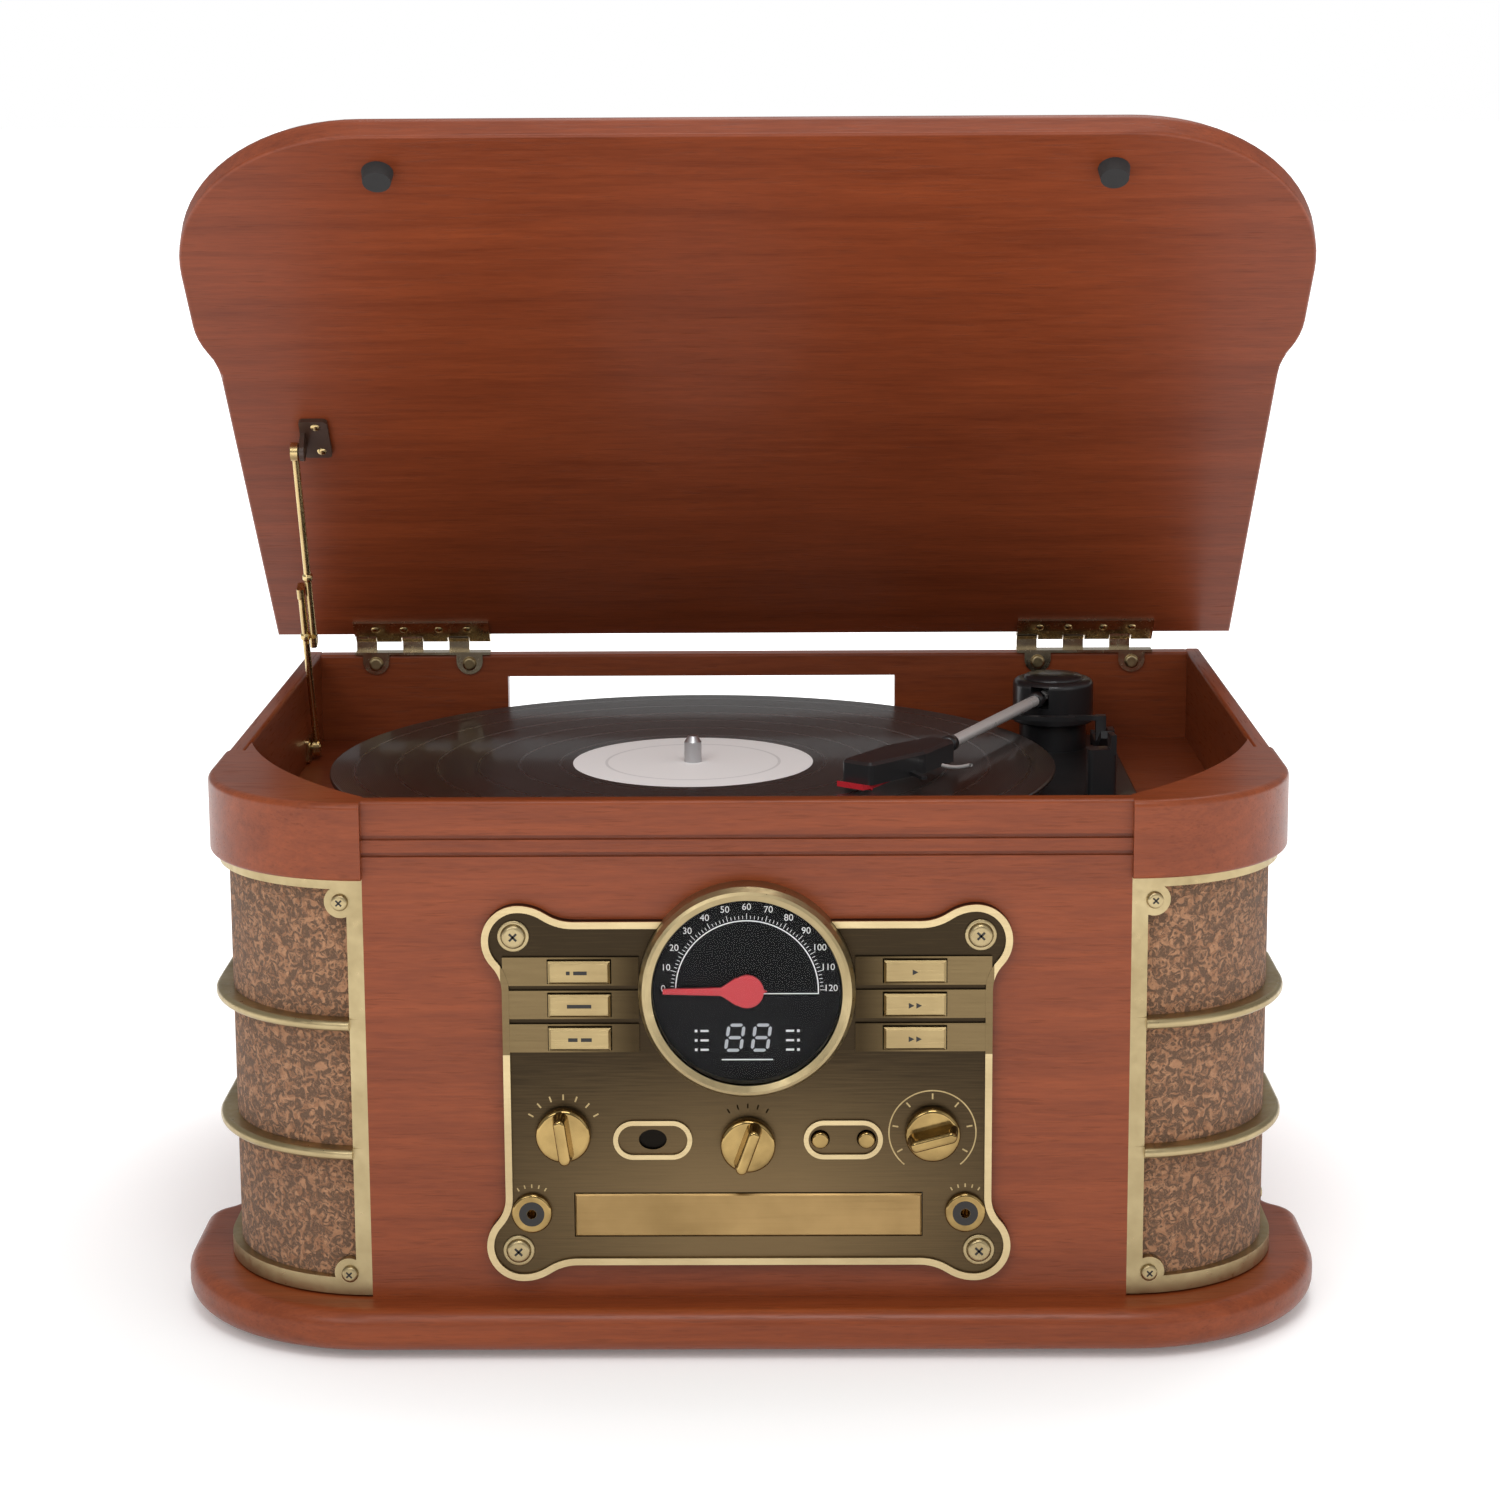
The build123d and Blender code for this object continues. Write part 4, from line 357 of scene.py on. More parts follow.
def stained_wood(name, dark, light, stretch, roughness=0.36):
    """Red-brown lacquered veneer with its grain along one direction."""
    material, tree, shader, coords = finish(name, roughness, Coat_Weight=0.08,
                                            Coat_Roughness=0.18, Specular_IOR_Level=0.3)
    grain = use(tree, GRAIN, {"Vector": coords}, Stretch=stretch)
    colour = blend_colours(tree, grain["Figure"], dark, light)
    pore = calc(tree, "MULTIPLY", grain["Pores"], 0.38)
    colour = blend_colours(tree, pore, colour, tuple(0.45 * c for c in dark))
    tree.links.new(colour, shader.inputs["Base Color"])
    tree.links.new(remap(tree, grain["Pores"], 0, 1, roughness, roughness + 0.14),
                   shader.inputs["Roughness"])
    relief(tree, shader, calc(tree, "SUBTRACT", 1.0, grain["Pores"]), 0.00006, 0.5)
    return material


def metal(name, colour, tarnish, roughness, cloud=60.0, stretch=(300, 300, 300), amount=0.5,
          bump=0.00002):
    """Metal with clouds of tarnish and fine scratches."""
    material, tree, shader, coords = finish(name, roughness, 1.0)
    patina = use(tree, PATINA, {"Vector": coords}, Cloud=cloud, Stretch=stretch)
    mixed = blend_colours(tree, calc(tree, "MULTIPLY", patina["Tarnish"], amount), colour, tarnish)
    tree.links.new(mixed, shader.inputs["Base Color"])
    tree.links.new(remap(tree, patina["Scratches"], 0.3, 0.7, roughness * 0.8, roughness * 1.35),
                   shader.inputs["Roughness"])
    relief(tree, shader, patina["Scratches"], bump, 0.6)
    return material


def moulding(name, colour, roughness=0.5, fineness=1400.0, bump=0.00004, metallic=0.0, vary=0.25,
             **plain):
    """Moulded, painted or rubber surface with a fine grain."""
    material, tree, shader, coords = finish(name, roughness, metallic, **plain)
    speckle = use(tree, SPECKLE, {"Vector": coords}, Fineness=fineness)
    mixed = blend_colours(tree, calc(tree, "MULTIPLY", speckle["Tone"], vary), colour,
                          tuple(min(1.0, 1.6 * c + 0.01) for c in colour))
    tree.links.new(mixed, shader.inputs["Base Color"])
    tree.links.new(remap(tree, speckle["Tone"], 0.3, 0.7, roughness * 0.88, roughness * 1.12),
                   shader.inputs["Roughness"])
    relief(tree, shader, speckle["Grain"], bump, 0.5)
    return material


def control_plate_metal():
    """Brushed antique brass with painted light: a painted reflection leaves it near black at the
    top and warmer towards the lower middle, and a painted highlight makes it bright on the bead
    and the rims, which stand further forward; it is duller on the bars towards the dial."""
    material, tree, shader, coords = finish("antique_plate", 0.38, 1.0)
    patina = use(tree, PATINA, {"Vector": coords}, Cloud=35.0, Stretch=(40, 1500, 1500))
    place = add(tree, "ShaderNodeSeparateXYZ", {0: coords}).outputs
    # Painted reflection: the brass is darker at the top and warmer towards the lower middle, with
    # the brushed streaks added.
    low = remap(tree, place["Z"], 0.118, 0.064)
    across = calc(tree, "ABSOLUTE", place["X"])
    middle = remap(tree, across, 0.095, 0.020)
    painted_reflection_and_streaks = calc(tree, "MULTIPLY", low, calc(tree, "ADD", calc(tree, "MULTIPLY", middle, 0.7), 0.3))
    streaks = calc(tree, "SUBTRACT", patina["Scratches"], 0.5)
    painted_reflection_and_streaks = calc(tree, "ADD", painted_reflection_and_streaks, calc(tree, "MULTIPLY", streaks, 0.7), clamp=True)
    base = blend_colours(tree, painted_reflection_and_streaks, (0.040, 0.028, 0.016), (0.180, 0.122, 0.060))
    # Painted highlight: bright brass on the bead and the rims, which stand further forward; within
    # the bars they take the bars' colour instead.
    raised = remap(tree, place["Y"], FRONT_Y - 3.15 * MM, FRONT_Y - 3.5 * MM)
    painted_highlight = blend_colours(tree, calc(tree, "MULTIPLY", patina["Tarnish"], 0.45),
                           (0.66, 0.52, 0.29), (0.38, 0.28, 0.14))
    within = calc(tree, "MULTIPLY", calc(tree, "LESS_THAN", across, BARS_HALF_W),
                  calc(tree, "MULTIPLY", calc(tree, "GREATER_THAN", place["Z"], BARS_Z[0]),
                       calc(tree, "LESS_THAN", place["Z"], BARS_Z[1])))
    bars = blend_colours(tree, remap(tree, across, 0.042, 0.068), (0.050, 0.034, 0.017),
                         (0.195, 0.138, 0.067))
    painted_highlight = blend_colours(tree, within, painted_highlight, bars)
    sunk = remap(tree, place["Y"], FRONT_Y - 2.6 * MM, FRONT_Y - 1.9 * MM)
    base = blend_colours(tree, raised, base, painted_highlight)
    base = blend_colours(tree, sunk, base, (0.012, 0.010, 0.008))
    tree.links.new(base, shader.inputs["Base Color"])
    tree.links.new(remap(tree, patina["Scratches"], 0.3, 0.7, 0.28, 0.46),
                   shader.inputs["Roughness"])
    relief(tree, shader, patina["Scratches"], 0.00003, 0.6)
    return material


def tweed():
    """Coarse tweed: tan and pinkish threads with dark gaps, about two millimetres apart,
    on the cloth's own map."""
    material, tree, shader, _ = finish("tweed_cloth", 0.9, Sheen_Weight=0.06, Sheen_Roughness=0.6)
    cloth = tree.nodes.new("ShaderNodeTexCoord").outputs["UV"]
    knots = add(tree, "ShaderNodeTexVoronoi", {"Vector": cloth}, Scale=440.0, Randomness=1.0)
    tone = add(tree, "ShaderNodeSeparateColor", {0: knots.outputs["Color"]}).outputs
    warped = noise(tree, cloth, 340.0, 3.0, 0.65, 1.2)
    fine = noise(tree, cloth, 1500.0, 2.0, 0.6)
    colour = blend_colours(tree, tone[0], (0.21, 0.086, 0.036), (0.37, 0.182, 0.090))
    gaps = remap(tree, warped, 0.44, 0.56)
    colour = blend_colours(tree, gaps, (0.050, 0.022, 0.010), colour)
    colour = blend_colours(tree, calc(tree, "MULTIPLY", fine, 0.35), colour, (0.42, 0.24, 0.135))
    tree.links.new(colour, shader.inputs["Base Color"])
    height = calc(tree, "ADD", gaps, calc(tree, "MULTIPLY", fine, 0.6))
    relief(tree, shader, height, 0.0005, 0.8)
    return material


def from_spindle(tree, coords):
    """Distance of a point from the spindle's axis."""
    place = add(tree, "ShaderNodeSeparateXYZ", {0: coords}).outputs
    dx = calc(tree, "SUBTRACT", place["X"], SPINDLE[0])
    dy = calc(tree, "SUBTRACT", place["Y"], SPINDLE[1])
    return calc(tree, "SQRT", calc(tree, "ADD", calc(tree, "MULTIPLY", dx, dx),
                                   calc(tree, "MULTIPLY", dy, dy)))


def grooved_vinyl():
    """Black vinyl: fine rings about the spindle, with a few plain bands between tracks."""
    material, tree, shader, coords = finish("grooved_vinyl", 0.26, Coat_Weight=0.3,
                                            Coat_Roughness=0.08)
    reach = from_spindle(tree, coords)
    groove_gap, track_width = 0.7 * MM, 17 * MM
    rings = calc(tree, "SINE", calc(tree, "MULTIPLY", reach, 2 * pi / groove_gap))
    tracks = calc(tree, "SINE", calc(tree, "MULTIPLY", reach, 2 * pi / track_width))
    plain = remap(tree, tracks, 0.95, 0.995)
    speckle = use(tree, SPECKLE, {"Vector": coords}, Fineness=900.0)
    colour = blend_colours(tree, plain, (0.011, 0.009, 0.008), (0.016, 0.014, 0.013))
    colour = blend_colours(tree, calc(tree, "MULTIPLY", speckle["Tone"], 0.3), colour,
                           (0.035, 0.020, 0.014))
    tree.links.new(colour, shader.inputs["Base Color"])
    tree.links.new(remap(tree, plain, 0, 1, 0.30, 0.24), shader.inputs["Roughness"])
    height = calc(tree, "MULTIPLY", rings, calc(tree, "SUBTRACT", 1.0, plain))
    relief(tree, shader, height, 0.00006, 0.6)
    return material


def paper_label():
    """White paper with one faint ring where the label was pressed."""
    material, tree, shader, coords = finish("label_paper", 0.6)
    reach = from_spindle(tree, coords)
    ring = calc(tree, "COMPARE", reach, 36 * MM)
    ring.node.inputs[2].default_value = 0.6 * MM
    speckle = use(tree, SPECKLE, {"Vector": coords}, Fineness=2500.0)
    colour = blend_colours(tree, calc(tree, "MULTIPLY", speckle["Grain"], 0.3),
                           (0.93, 0.93, 0.92), (0.84, 0.84, 0.83))
    colour = blend_colours(tree, calc(tree, "MULTIPLY", ring, 0.4), colour, (0.45, 0.45, 0.45))
    tree.links.new(colour, shader.inputs["Base Color"])
    relief(tree, shader, speckle["Grain"], 0.00002, 0.4)
    return material


FRONT_DARK, FRONT_LIGHT = (0.145, 0.027, 0.006), (0.262, 0.055, 0.0135)
ALONG_X, ALONG_Y = (14, 230, 230), (230, 14, 230)
across_wood = stained_wood("front_veneer", FRONT_DARK, FRONT_LIGHT, ALONG_X)
lengthwise_wood = stained_wood("side_veneer", FRONT_DARK, FRONT_LIGHT, ALONG_Y)
lid_wood = stained_wood("lid_veneer", (0.142, 0.027, 0.008), (0.258, 0.053, 0.0155), ALONG_X,
                        0.40)
plain_board = stained_wood("raw_board", (0.25, 0.16, 0.09), (0.38, 0.25, 0.14),
                           (60, 60, 60), 0.8)
trim_brass = metal("trim_brass", (0.49, 0.39, 0.215), (0.26, 0.19, 0.09), 0.34, 45.0)
knob_brass = metal("knob_brass", (0.44, 0.30, 0.115), (0.07, 0.040, 0.014), 0.11, 70.0,
                   amount=0.6)
button_brass = metal("button_brass", (0.43, 0.325, 0.16), (0.27, 0.19, 0.09), 0.32, 40.0,
                     (60, 1500, 1500))
tray_brass = metal("tray_brass", (0.42, 0.275, 0.115), (0.23, 0.145, 0.055), 0.36, 28.0,
                   (30, 1800, 1800), 0.7)
rod_brass = metal("rod_brass", (0.66, 0.50, 0.24), (0.36, 0.25, 0.11), 0.24, 90.0)
bright_metal = metal("bright_metal", (0.70, 0.60, 0.42), (0.40, 0.30, 0.18), 0.22, 120.0)
arm_metal = moulding("arm_metal", (0.66, 0.64, 0.62), 0.3, metallic=0.35, vary=0.1)
steel = metal("plain_steel", (0.55, 0.55, 0.56), (0.38, 0.38, 0.40), 0.4, 60.0)
aluminium = metal("turned_aluminium", (0.62, 0.62, 0.63), (0.5, 0.5, 0.52), 0.34, 60.0)
black_paint = moulding("black_paint", (0.020, 0.018, 0.017), 0.35)
brown_paint = moulding("brown_paint", (0.045, 0.022, 0.014), 0.35)
black_moulding = moulding("black_moulding", (0.014, 0.014, 0.015), 0.32, Coat_Weight=0.2)
rubber = moulding("rubber", (0.018, 0.017, 0.017), 0.75, 2200.0, 0.00008)
dial_black = moulding("dial_black", (0.004, 0.004, 0.005), 0.6, 2500.0, 0.00001, vary=0.1,
                      Specular_IOR_Level=0.1)
red_moulding = moulding("red_moulding", (0.50, 0.016, 0.026), 0.28, 1800.0, 0.00001)
green_board = moulding("green_board", (0.020, 0.110, 0.050), 0.5)
plate_metal = control_plate_metal()
cloth_finish = tweed()
vinyl = grooved_vinyl()
paper = paper_label()
pale_print = moulding("pale_print", (0.78, 0.79, 0.80), 0.6, 3000.0, 0.000005)
display_print = moulding("display_print", (0.42, 0.44, 0.47), 0.5, 3000.0, 0.000005)
gold_print = metal("gold_print", (0.50, 0.38, 0.19), (0.32, 0.23, 0.11), 0.45, 80.0)
# Black for the printed button signs, and painted shade in the sockets and on the screw recesses.
black_print_and_shade = moulding("black_print_and_shade", (0.012, 0.010, 0.008), 0.5)

lens_glass, _, lens_shader, _ = finish("clear_lens", 0.03, IOR=1.12, Transmission_Weight=1.0)
lens_shader.inputs["Base Color"].default_value = (1, 1, 1, 1)

FINISHES = {
    across_wood: ["plinth", "front_panel", "back_panel", "left_shoulder", "right_shoulder",
                  "deck_board"],
    lengthwise_wood: ["side_panels"],
    lid_wood: ["lid"],
    plain_board: ["speaker_baffles"],
    trim_brass: ["left_grille_frame", "right_grille_frame", "panel_screws", "dial_bezel"],
    knob_brass: ["function_knob", "tuning_knob", "volume_knob", "front_jacks", "stop_button",
                 "play_button"],
    button_brass: [f"{side}_{row}_button" for side in ("left", "right")
                   for row in ("top", "middle", "bottom")],
    tray_brass: ["cd_tray"],
    rod_brass: ["stay_upper_rod", "stay_lower_rod", "stay_wall_bracket", "motor_pulley"],
    bright_metal: ["hinge_base_leaves", "hinge_lid_leaves"],
    arm_metal: ["tonearm_tube"],
    steel: ["cd_drive", "transformer", "platter_motor"],
    aluminium: ["platter"],
    black_paint: ["speaker_drivers"],
    brown_paint: ["stay_lid_bracket"],
    black_moulding: ["turntable_chassis", "tonearm_hub", "headshell", "arm_rest", "cue_lever",
                     "speed_switch", "rear_terminals"],
    rubber: ["rubber_feet", "lid_bumpers", "platter_mat", "drive_belt"],
    dial_black: ["dial_face"],
    red_moulding: ["dial_needle", "stylus"],
    green_board: ["amplifier_board"],
    plate_metal: ["control_plate"],
    cloth_finish: ["left_speaker_cloth", "right_speaker_cloth"],
    vinyl: ["record"],
    paper: ["record_label"],
    lens_glass: ["dial_lens"],
}
for material, names in FINISHES.items():
    for name in names:
        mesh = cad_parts[name].data
        mesh.materials.clear()
        mesh.materials.append(material)


# ---------------------------------------------------------------- speaker cloth


def speaker_cloth(side, name, node):
    """Cloth round a front corner: a quarter circle about the column, then straight back. The
    map's u is the distance along the cloth and its v is the height, both in metres."""
    arc = CLOTH_R * pi / 2
    straight = CLOTH_END_Y - COLUMN[1]
    grid = (CLOTH_ROWS, CLOTH_COLUMNS)
    s = np.linspace(0, arc + straight, CLOTH_COLUMNS)
    z = np.linspace(*CLOTH_Z, CLOTH_ROWS)
    turn = np.minimum(s, arc) / CLOTH_R
    x = side * (COLUMN[0] + CLOTH_R * np.sin(turn))
    y = COLUMN[1] - CLOTH_R * np.cos(turn) + np.maximum(s - arc, 0)
    points = np.stack([np.broadcast_to(x, grid), np.broadcast_to(y, grid),
                       np.broadcast_to(z[:, None], grid)], -1)
    faces = grid_faces(*grid)
    faces = faces if side > 0 else faces[:, ::-1]
    cloth = piece(name, points, faces, cloth_finish, "cabinet", smooth=True)
    flat = np.stack(np.meshgrid(s, z), -1).reshape(-1, 2)
    corners = np.empty(len(cloth.data.loops), int)
    cloth.data.loops.foreach_get("vertex_index", corners)
    uv = cloth.data.uv_layers.new(name="cloth")
    uv.data.foreach_set("uv", flat[corners].ravel())
    thick = cloth.modifiers.new("thickness", "SOLIDIFY")
    thick.thickness, thick.offset = 0.0009, -1
    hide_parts(node)


speaker_cloth(-1, "left_tweed", "left_speaker_cloth")
speaker_cloth(1, "right_tweed", "right_speaker_cloth")


# ---------------------------------------------------------------- dial print


SEGMENTS = np.array([(0, 2, 1, 2), (1, 1, 1, 2), (1, 0, 1, 1), (0, 0, 1, 0), (0, 0, 0, 1),
                     (0, 1, 0, 2), (0, 1, 1, 1)], float)


def seven_segments(x, z, width, height, stroke, lean, y):
    """Digit of seven hexagonal bars; each bar runs between two corners of the digit, and the
    whole is sheared by the lean."""
    made = []
    for x0, z0, x1, z1 in SEGMENTS:
        a = np.array([(x0 - 0.5) * width, (z0 - 1) * height / 2])
        b = np.array([(x1 - 0.5) * width, (z1 - 1) * height / 2])
        along = (b - a) / np.linalg.norm(b - a)
        side = np.array([-along[1], along[0]]) * stroke / 2
        a, b = a + along * stroke * 0.35, b - along * stroke * 0.35
        half = along * stroke / 2
        flat = np.array([a, a + half - side, b - half - side, b, b - half + side, a + half + side])
        flat[:, 0] += flat[:, 1] * lean
        made.append((on_front(flat, y, (x, z)), [range(6)]))
    return made


# The scale: an arc with its base line, ticks, numbers, small signs beside the figures and a rule
scale = [ring_band(SCALE_ARC_R, 0.45 * MM, 0, 180, 90, PRINT_Y, (0, DIAL_Z)),
         bar(13.1 * MM, DIAL_Z - 1.4 * MM, SCALE_ARC_R, 0.4 * MM, 0, PRINT_Y),
         bar(SCALE_ARC_R, DIAL_Z - 0.8 * MM, 0.4 * MM, 1.6 * MM, 0, PRINT_Y)]
for tick in range(61):
    angle = radians(180 - 3 * tick)
    reach, length = (27.6 * MM, 1.2 * MM) if tick % 5 else (28.0 * MM, 2.2 * MM)
    scale.append(bar(reach * cos(angle), DIAL_Z + reach * sin(angle), length, 0.22 * MM, angle,
                     PRINT_Y))
for number in range(13):
    angle = radians(180 - 15 * number)
    scale.append(lettering(str(10 * number), 3.5 * MM, NUMBERS_R * cos(angle),
                           DIAL_Z + NUMBERS_R * sin(angle) + 0.6 * MM, PRINT_Y))
for side in (-1, 1):
    for step in range(3):
        sign_z = DIAL_Z + (-15.6 - 3.6 * step) * MM
        scale.append(bar(side * 15.8 * MM, sign_z, 3.0 * MM, 0.8 * MM, 0, PRINT_Y))
        scale.append(bar(side * 18.9 * MM, sign_z, 1.0 * MM, 1.0 * MM, 0, PRINT_Y))
scale.append(bar(0, DIAL_Z - 26.6 * MM, 19 * MM, 0.5 * MM, 0, PRINT_Y))
piece("dial_scale", *gather(scale), pale_print, "cabinet")
digits = [seg for x in (-4.6, 5.2)
          for seg in seven_segments(x * MM, DIAL_Z - 18.2 * MM, 5.6 * MM, 9.6 * MM, 1.2 * MM, 0.14,
                                    PRINT_Y)]
piece("dial_digits", *gather(digits), display_print, "cabinet")

# Printed arc and ticks round the outer knobs, ticks above the middle knob and the sockets
marks = [ring_band(16.2 * MM, 0.5 * MM, -50, 230, 80, PLATE_Y, (KNOB_X, KNOB_Z))]
for side in (-1, 1):
    for step in range(7):
        angle = radians(-30 + 40 * step) if side > 0 else radians(30 + 20 * step)
        marks.append(bar(side * KNOB_X + 14.0 * MM * cos(angle), KNOB_Z + 14.0 * MM * sin(angle),
                         2.2 * MM, 0.6 * MM, angle, PLATE_Y))
for side in (-1, 1):
    for degrees in (60, 75, 90, 105, 120):
        a = radians(degrees)
        marks.append(bar(14.4 * MM * cos(a), TUNING_KNOB_Z + 14.4 * MM * sin(a), 1.8 * MM,
                         0.5 * MM, a, PLATE_Y))
        marks.append(bar(side * JACK_X + 10.2 * MM * cos(a), JACK_Z + 10.2 * MM * sin(a),
                         1.4 * MM, 0.5 * MM, a, PLATE_Y))
piece("panel_marks", *gather(marks), gold_print, "cabinet")

# Painted shade: a dark ring on each socket stands in for the shade in its bore.
piece("jack_bore_shade", *gather([ring_band(3.3 * MM, 2.9 * MM, 0, 360, 40, JACK_SHADE_Y,
                                       (side * JACK_X, JACK_Z)) for side in (-1, 1)]),
      black_print_and_shade, "cabinet")

# A small dark sign printed on each button: a dot and bars to the left, arrows to the right
LEFT_SIGNS = {"top": ((-4, 1.4), (0.5, 5)), "middle": ((0, 9),), "bottom": ((-2.5, 3.5), (2.5, 4))}
RIGHT_SIGNS = {"top": (0,), "middle": (-1.4, 1.4), "bottom": (-1.4, 1.4)}
ARROW = np.array([(-1.0, -1.1), (1.1, 0), (-1.0, 1.1)]) * MM
for row, z in BUTTON_ROWS.items():
    left = [bar(-BUTTON_X + x * MM, z, width * MM, 1.4 * MM, 0, BUTTON_Y)
            for x, width in LEFT_SIGNS[row]]
    right = [(on_front(ARROW, BUTTON_Y, (BUTTON_X + x * MM, z)), [(0, 1, 2)])
             for x in RIGHT_SIGNS[row]]
    piece(f"left_{row}_sign", *gather(left), black_print_and_shade, f"left_{row}_button")
    piece(f"right_{row}_sign", *gather(right), black_print_and_shade, f"right_{row}_button")


# ---------------------------------------------------------------- screws and small metal


def shade_cross(centre, axis, reach, width, depth):
    """Painted shade of a screw head's cross recess: two dark crossed bars of the given depth,
    square to the axis.
    """
    axis = Vector(axis).normalized()
    side = axis.orthogonal().normalized()
    across = axis.cross(side)
    flat = np.array([(-reach, -width), (reach, -width), (reach, width), (-reach, width)])
    made = []
    for swap in (False, True):
        f = flat[:, ::-1] if swap else flat
        f = f[::-1] if swap else f
        base = np.array(centre) + f[:, :1] * np.array(side) + f[:, 1:] * np.array(across)
        points = np.concatenate([base, base + depth * np.array(axis)])
        faces = [(3, 2, 1, 0), (4, 5, 6, 7), (0, 1, 5, 4), (1, 2, 6, 5), (2, 3, 7, 6),
                 (3, 0, 4, 7)]
        made.append((points, faces))
    return made


WASHER = [(4.7 * MM, 0.0), (5.9 * MM, 0.0), (6.0 * MM, 0.5 * MM), (5.6 * MM, 0.8 * MM),
          (4.7 * MM, 0.7 * MM)]
crosses, washers = [], []
for x in (-PLATE_SCREW_X, PLATE_SCREW_X):
    for z in PLATE_SCREW_ZS:
        head = np.array((x, PLATE_FACE_Y, z))
        crosses += shade_cross(head + (0, -2.2 * MM, 0), (0, -1, 0), 1.9 * MM, 0.4 * MM,
                                0.35 * MM)
        washers.append(turned(WASHER, head, (0, -1, 0)))
lean = (GRILLE_SCREW_X - COLUMN[0]) / GRILLE_R
for side in (-1, 1):
    for z in GRILLE_SCREW_ZS:
        out = np.array((side * lean, -np.sqrt(1 - lean * lean), 0))
        head = np.array((side * COLUMN[0], COLUMN[1], z)) + out * GRILLE_R
        crosses += shade_cross(head + out * 1.6 * MM, out, 1.5 * MM, 0.32 * MM, 0.3 * MM)
# Painted shade: dark crosses on the screw heads where their recesses lie in shade.
piece("screw_cross_shade", *gather(crosses), black_print_and_shade, "cabinet")
piece("plate_washers", *gather(washers), trim_brass, "cabinet", smooth=True)

down = (0, -sin(LID_LEAN), -cos(LID_LEAN))
HEAD = [(0.0, 0.9 * MM), (0.9 * MM, 0.85 * MM), (1.6 * MM, 0.6 * MM), (2.0 * MM, 0.0)]
lid_screws = [turned(HEAD, lid_point(side * HINGE_X + x * MM, -9.5 * MM, -4.0 * MM), down)
              for side in (-1, 1) for x in (-21, -8, 8, 21)]
lid_screws += [turned(HEAD, lid_point(x * MM, y * MM, -4.8 * MM), down)
               for x, y in ((-183, -157.5), (-182, -141.5))]
piece("lid_screws", *gather(lid_screws), rod_brass, "lid", smooth=True)

# A small ball on each rod of the stay
stay_top = np.array(lid_point(-192 * MM, -149.2 * MM, -11 * MM))
stay_foot = np.array(STAY_FOOT)
aim = np.array((0, stay_foot[1] - stay_top[1], stay_foot[2] - stay_top[2]))
aim /= np.linalg.norm(aim)
BALL = [(0.0, -2.4 * MM), (1.4 * MM, -2.0 * MM), (2.2 * MM, -0.9 * MM), (2.2 * MM, 0.9 * MM),
        (1.4 * MM, 2.0 * MM), (0.0, 2.4 * MM)]
piece("stay_upper_collar", *turned(BALL, stay_top + aim * 63 * MM, aim), rod_brass,
      "stay_upper", smooth=True)
piece("stay_lower_collar", *turned(BALL, stay_foot - aim * 60 * MM, aim), rod_brass,
      "stay_lower", smooth=True)


# ---------------------------------------------------------------- tonearm detail


def arm_point(along, side, up):
    """A point on the playing tonearm: along it from the pivot, to its side and up."""
    return np.array((ARM_PIVOT[0] + along * cos(ARM_HEADING) - side * sin(ARM_HEADING),
                     ARM_PIVOT[1] + along * sin(ARM_HEADING) + side * cos(ARM_HEADING),
                     ARM_PIVOT[2] + up))


ARM_AIM = arm_point(1, 0, 0) - arm_point(0, 0, 0)
COLLAR = [(2.5 * MM, -3 * MM), (3.5 * MM, -3 * MM), (3.6 * MM, 0), (3.5 * MM, 3 * MM),
          (2.5 * MM, 3 * MM)]
collars = [turned(COLLAR, arm_point(along * MM, 0, 0), ARM_AIM) for along in (22, 128)]
piece("arm_collars", *gather(collars), black_moulding, "arm", smooth=True)

lift = np.array([arm_point((160 + 10 * t) * MM, (10 + 16 * t) * MM, (-2 + 3.5 * t * t) * MM)
                 for t in np.linspace(0, 1, 24)])
piece("finger_lift", *tube(lift, 0.8 * MM), arm_metal, "arm", smooth=True)

CAP = [(0.0, 207.4 * MM), (6 * MM, 207.4 * MM), (12.5 * MM, 206.8 * MM), (13.6 * MM, 205.6 * MM),
       (13.6 * MM, 205.2 * MM)]
piece("hub_cap", *turned(CAP, (ARM_PIVOT[0], ARM_PIVOT[1], 0.0), (0, 0, 1), 40), black_moulding,
      "arm_base", smooth=True)


# ---------------------------------------------------------------- floor, light and camera


floor_finish, floor_tree, floor_shader, floor_coords = finish("pale_floor", 0.8)
floor_tone = blend_colours(floor_tree, noise(floor_tree, floor_coords, 3.0), (0.90, 0.90, 0.90),
                           (0.93, 0.93, 0.93))
floor_tree.links.new(floor_tone, floor_shader.inputs["Base Color"])
# Painted light: the floor glows, dim near the object and brighter further out, and this glow also
# lights the object.
reach = add(floor_tree, "ShaderNodeVectorMath", {0: floor_coords}, operation="LENGTH")
floor_glow = blend_colours(floor_tree, remap(floor_tree, reach.outputs["Value"], 0.24, 1.3),
                           (0.13, 0.13, 0.13), (0.75, 0.75, 0.75))
floor_tree.links.new(floor_glow, floor_shader.inputs["Emission Color"])
floor_shader.inputs["Emission Strength"].default_value = 1.0
FLOOR_HALF = 30
floor_mesh = bpy.data.meshes.new("floor")
floor_mesh.from_pydata([(x * FLOOR_HALF, y * FLOOR_HALF, 0)
                        for x, y in ((-1, -1), (1, -1), (1, 1), (-1, 1))], [], [(0, 1, 2, 3)])
floor_mesh.materials.append(floor_finish)
floor = bpy.data.objects.new("floor", floor_mesh)
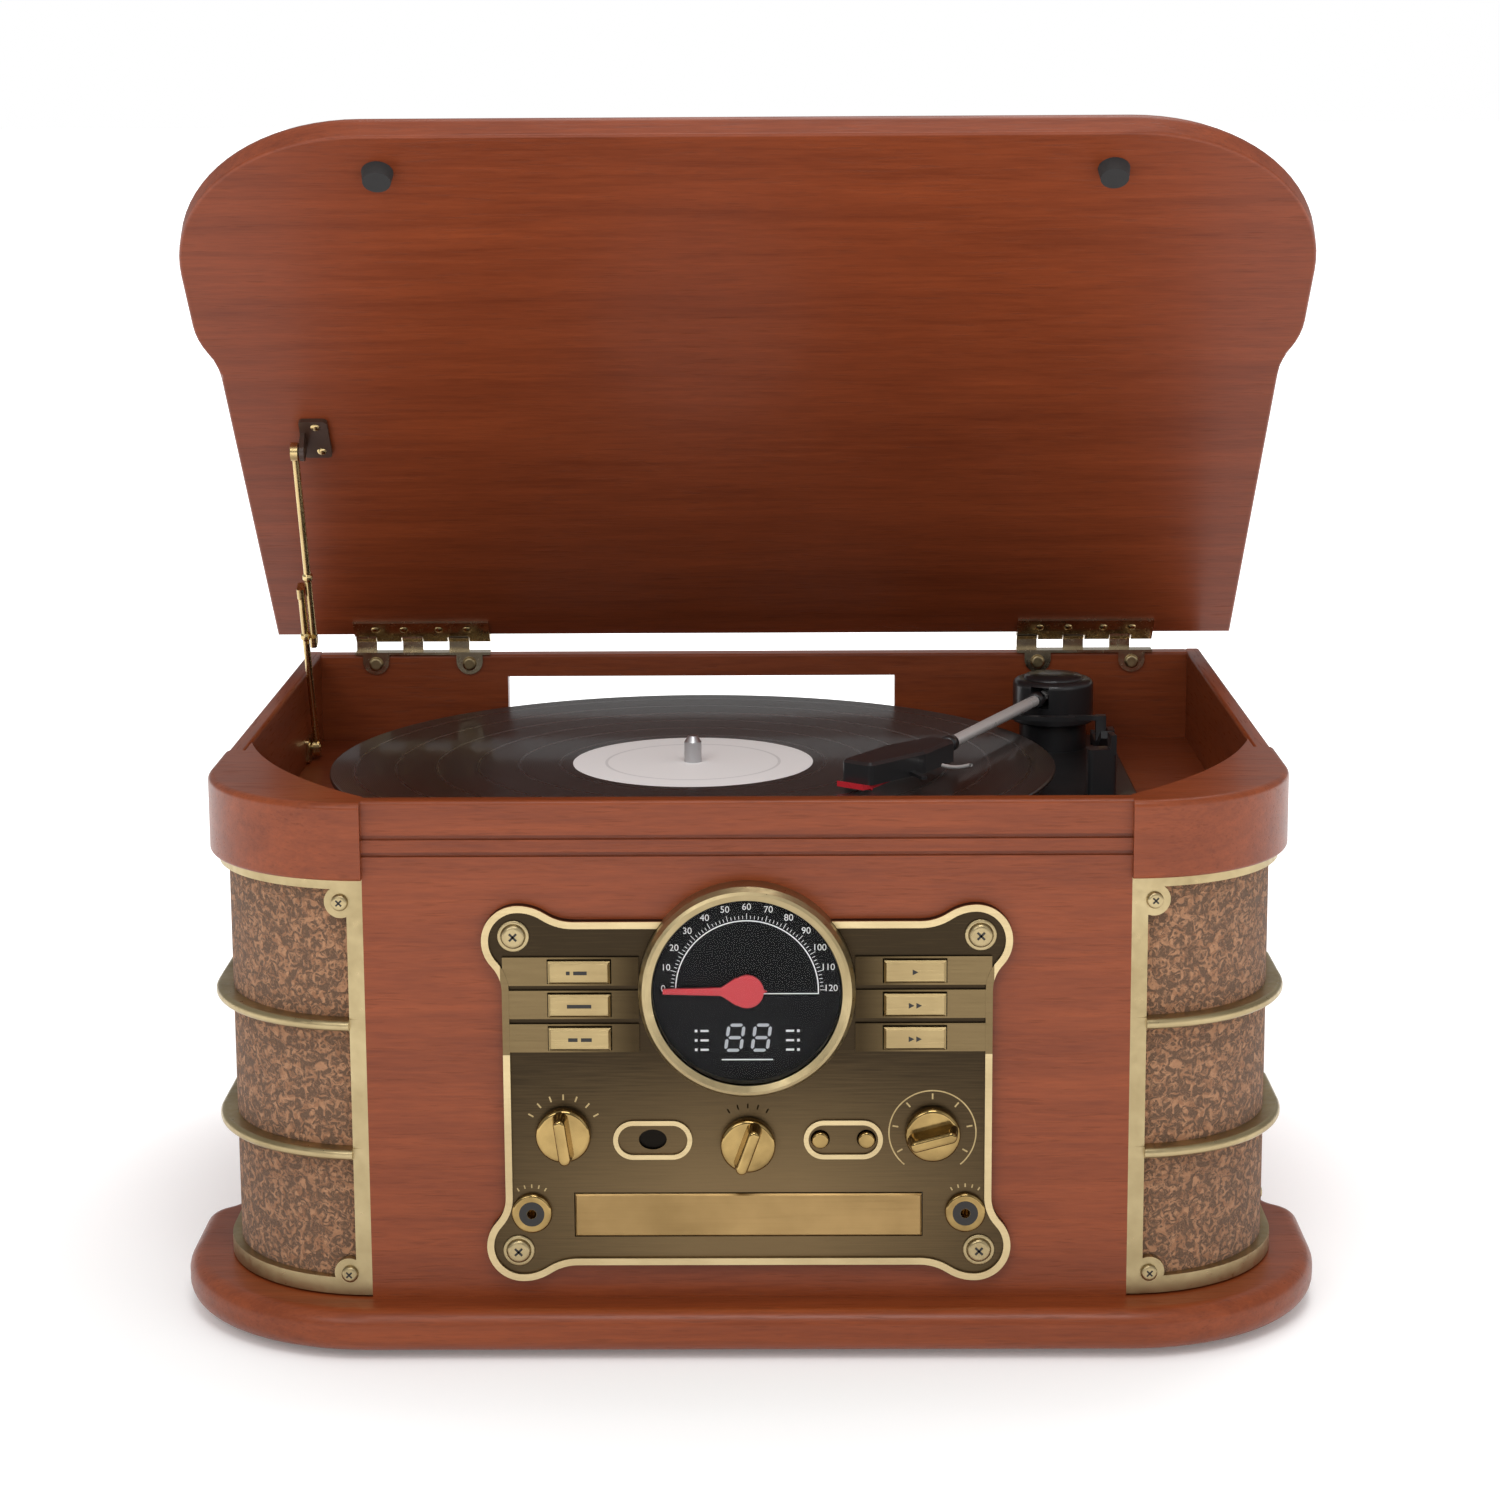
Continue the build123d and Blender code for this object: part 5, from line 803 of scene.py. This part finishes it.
bpy.context.scene.collection.objects.link(floor)

world = bpy.data.worlds.new("studio")
bpy.context.scene.world = world
world.use_nodes = True
sky = world.node_tree
rays = sky.nodes.new("ShaderNodeLightPath").outputs
seen = calc(sky, "MAXIMUM", rays["Is Camera Ray"], rays["Is Transmission Ray"])
level = calc(sky, "ADD", 0.80, calc(sky, "MULTIPLY", seen, 0.20))
level = calc(sky, "SUBTRACT", level, calc(sky, "MULTIPLY", rays["Is Glossy Ray"], 0.44))
sky.nodes["Background"].inputs["Color"].default_value = (1, 1, 1, 1)
sky.links.new(level, sky.nodes["Background"].inputs["Strength"])


def lamp(name, place, target, size, power):
    """Square area lamp that faces a point."""
    data = bpy.data.lights.new(name, "AREA")
    data.shape, data.size, data.energy = "SQUARE", size, power
    thing = bpy.data.objects.new(name, data)
    thing.location = place
    thing.rotation_euler = (Vector(target) - Vector(place)).to_track_quat("-Z", "Y").to_euler()
    bpy.context.scene.collection.objects.link(thing)


lamp("key", (-1.0, -2.0, 1.5), (0, 0, 0.2), 1.0, 9)
lamp("fill", (1.8, -1.8, 1.2), (0, 0, 0.2), 1.6, 4)
lamp("front", (0.1, -1.3, 2.1), (0, 0.0, 0.2), 0.8, 13)
lamp("back", (0.3, 0.9, 2.2), (0, -0.1, 0.4), 1.2, 16)

CAMERA_PLACE = (0.0141, -1.3307, 0.4726)
CAMERA_TURN, CAMERA_PITCH, CAMERA_ROLL = radians(0.603), radians(90 - 10.342), radians(-0.33)
camera_data = bpy.data.cameras.new("camera")
camera = bpy.data.objects.new("camera", camera_data)
bpy.context.scene.collection.objects.link(camera)
camera_data.lens, camera_data.shift_y = 78.92, -0.05
camera.matrix_world = (Matrix.Translation(CAMERA_PLACE)
                       @ Matrix.Rotation(CAMERA_TURN, 4, "Z")
                       @ Matrix.Rotation(CAMERA_PITCH, 4, "X")
                       @ Matrix.Rotation(CAMERA_ROLL, 4, "Z"))
bpy.context.scene.camera = camera
bpy.context.scene.view_settings.view_transform = "Standard"
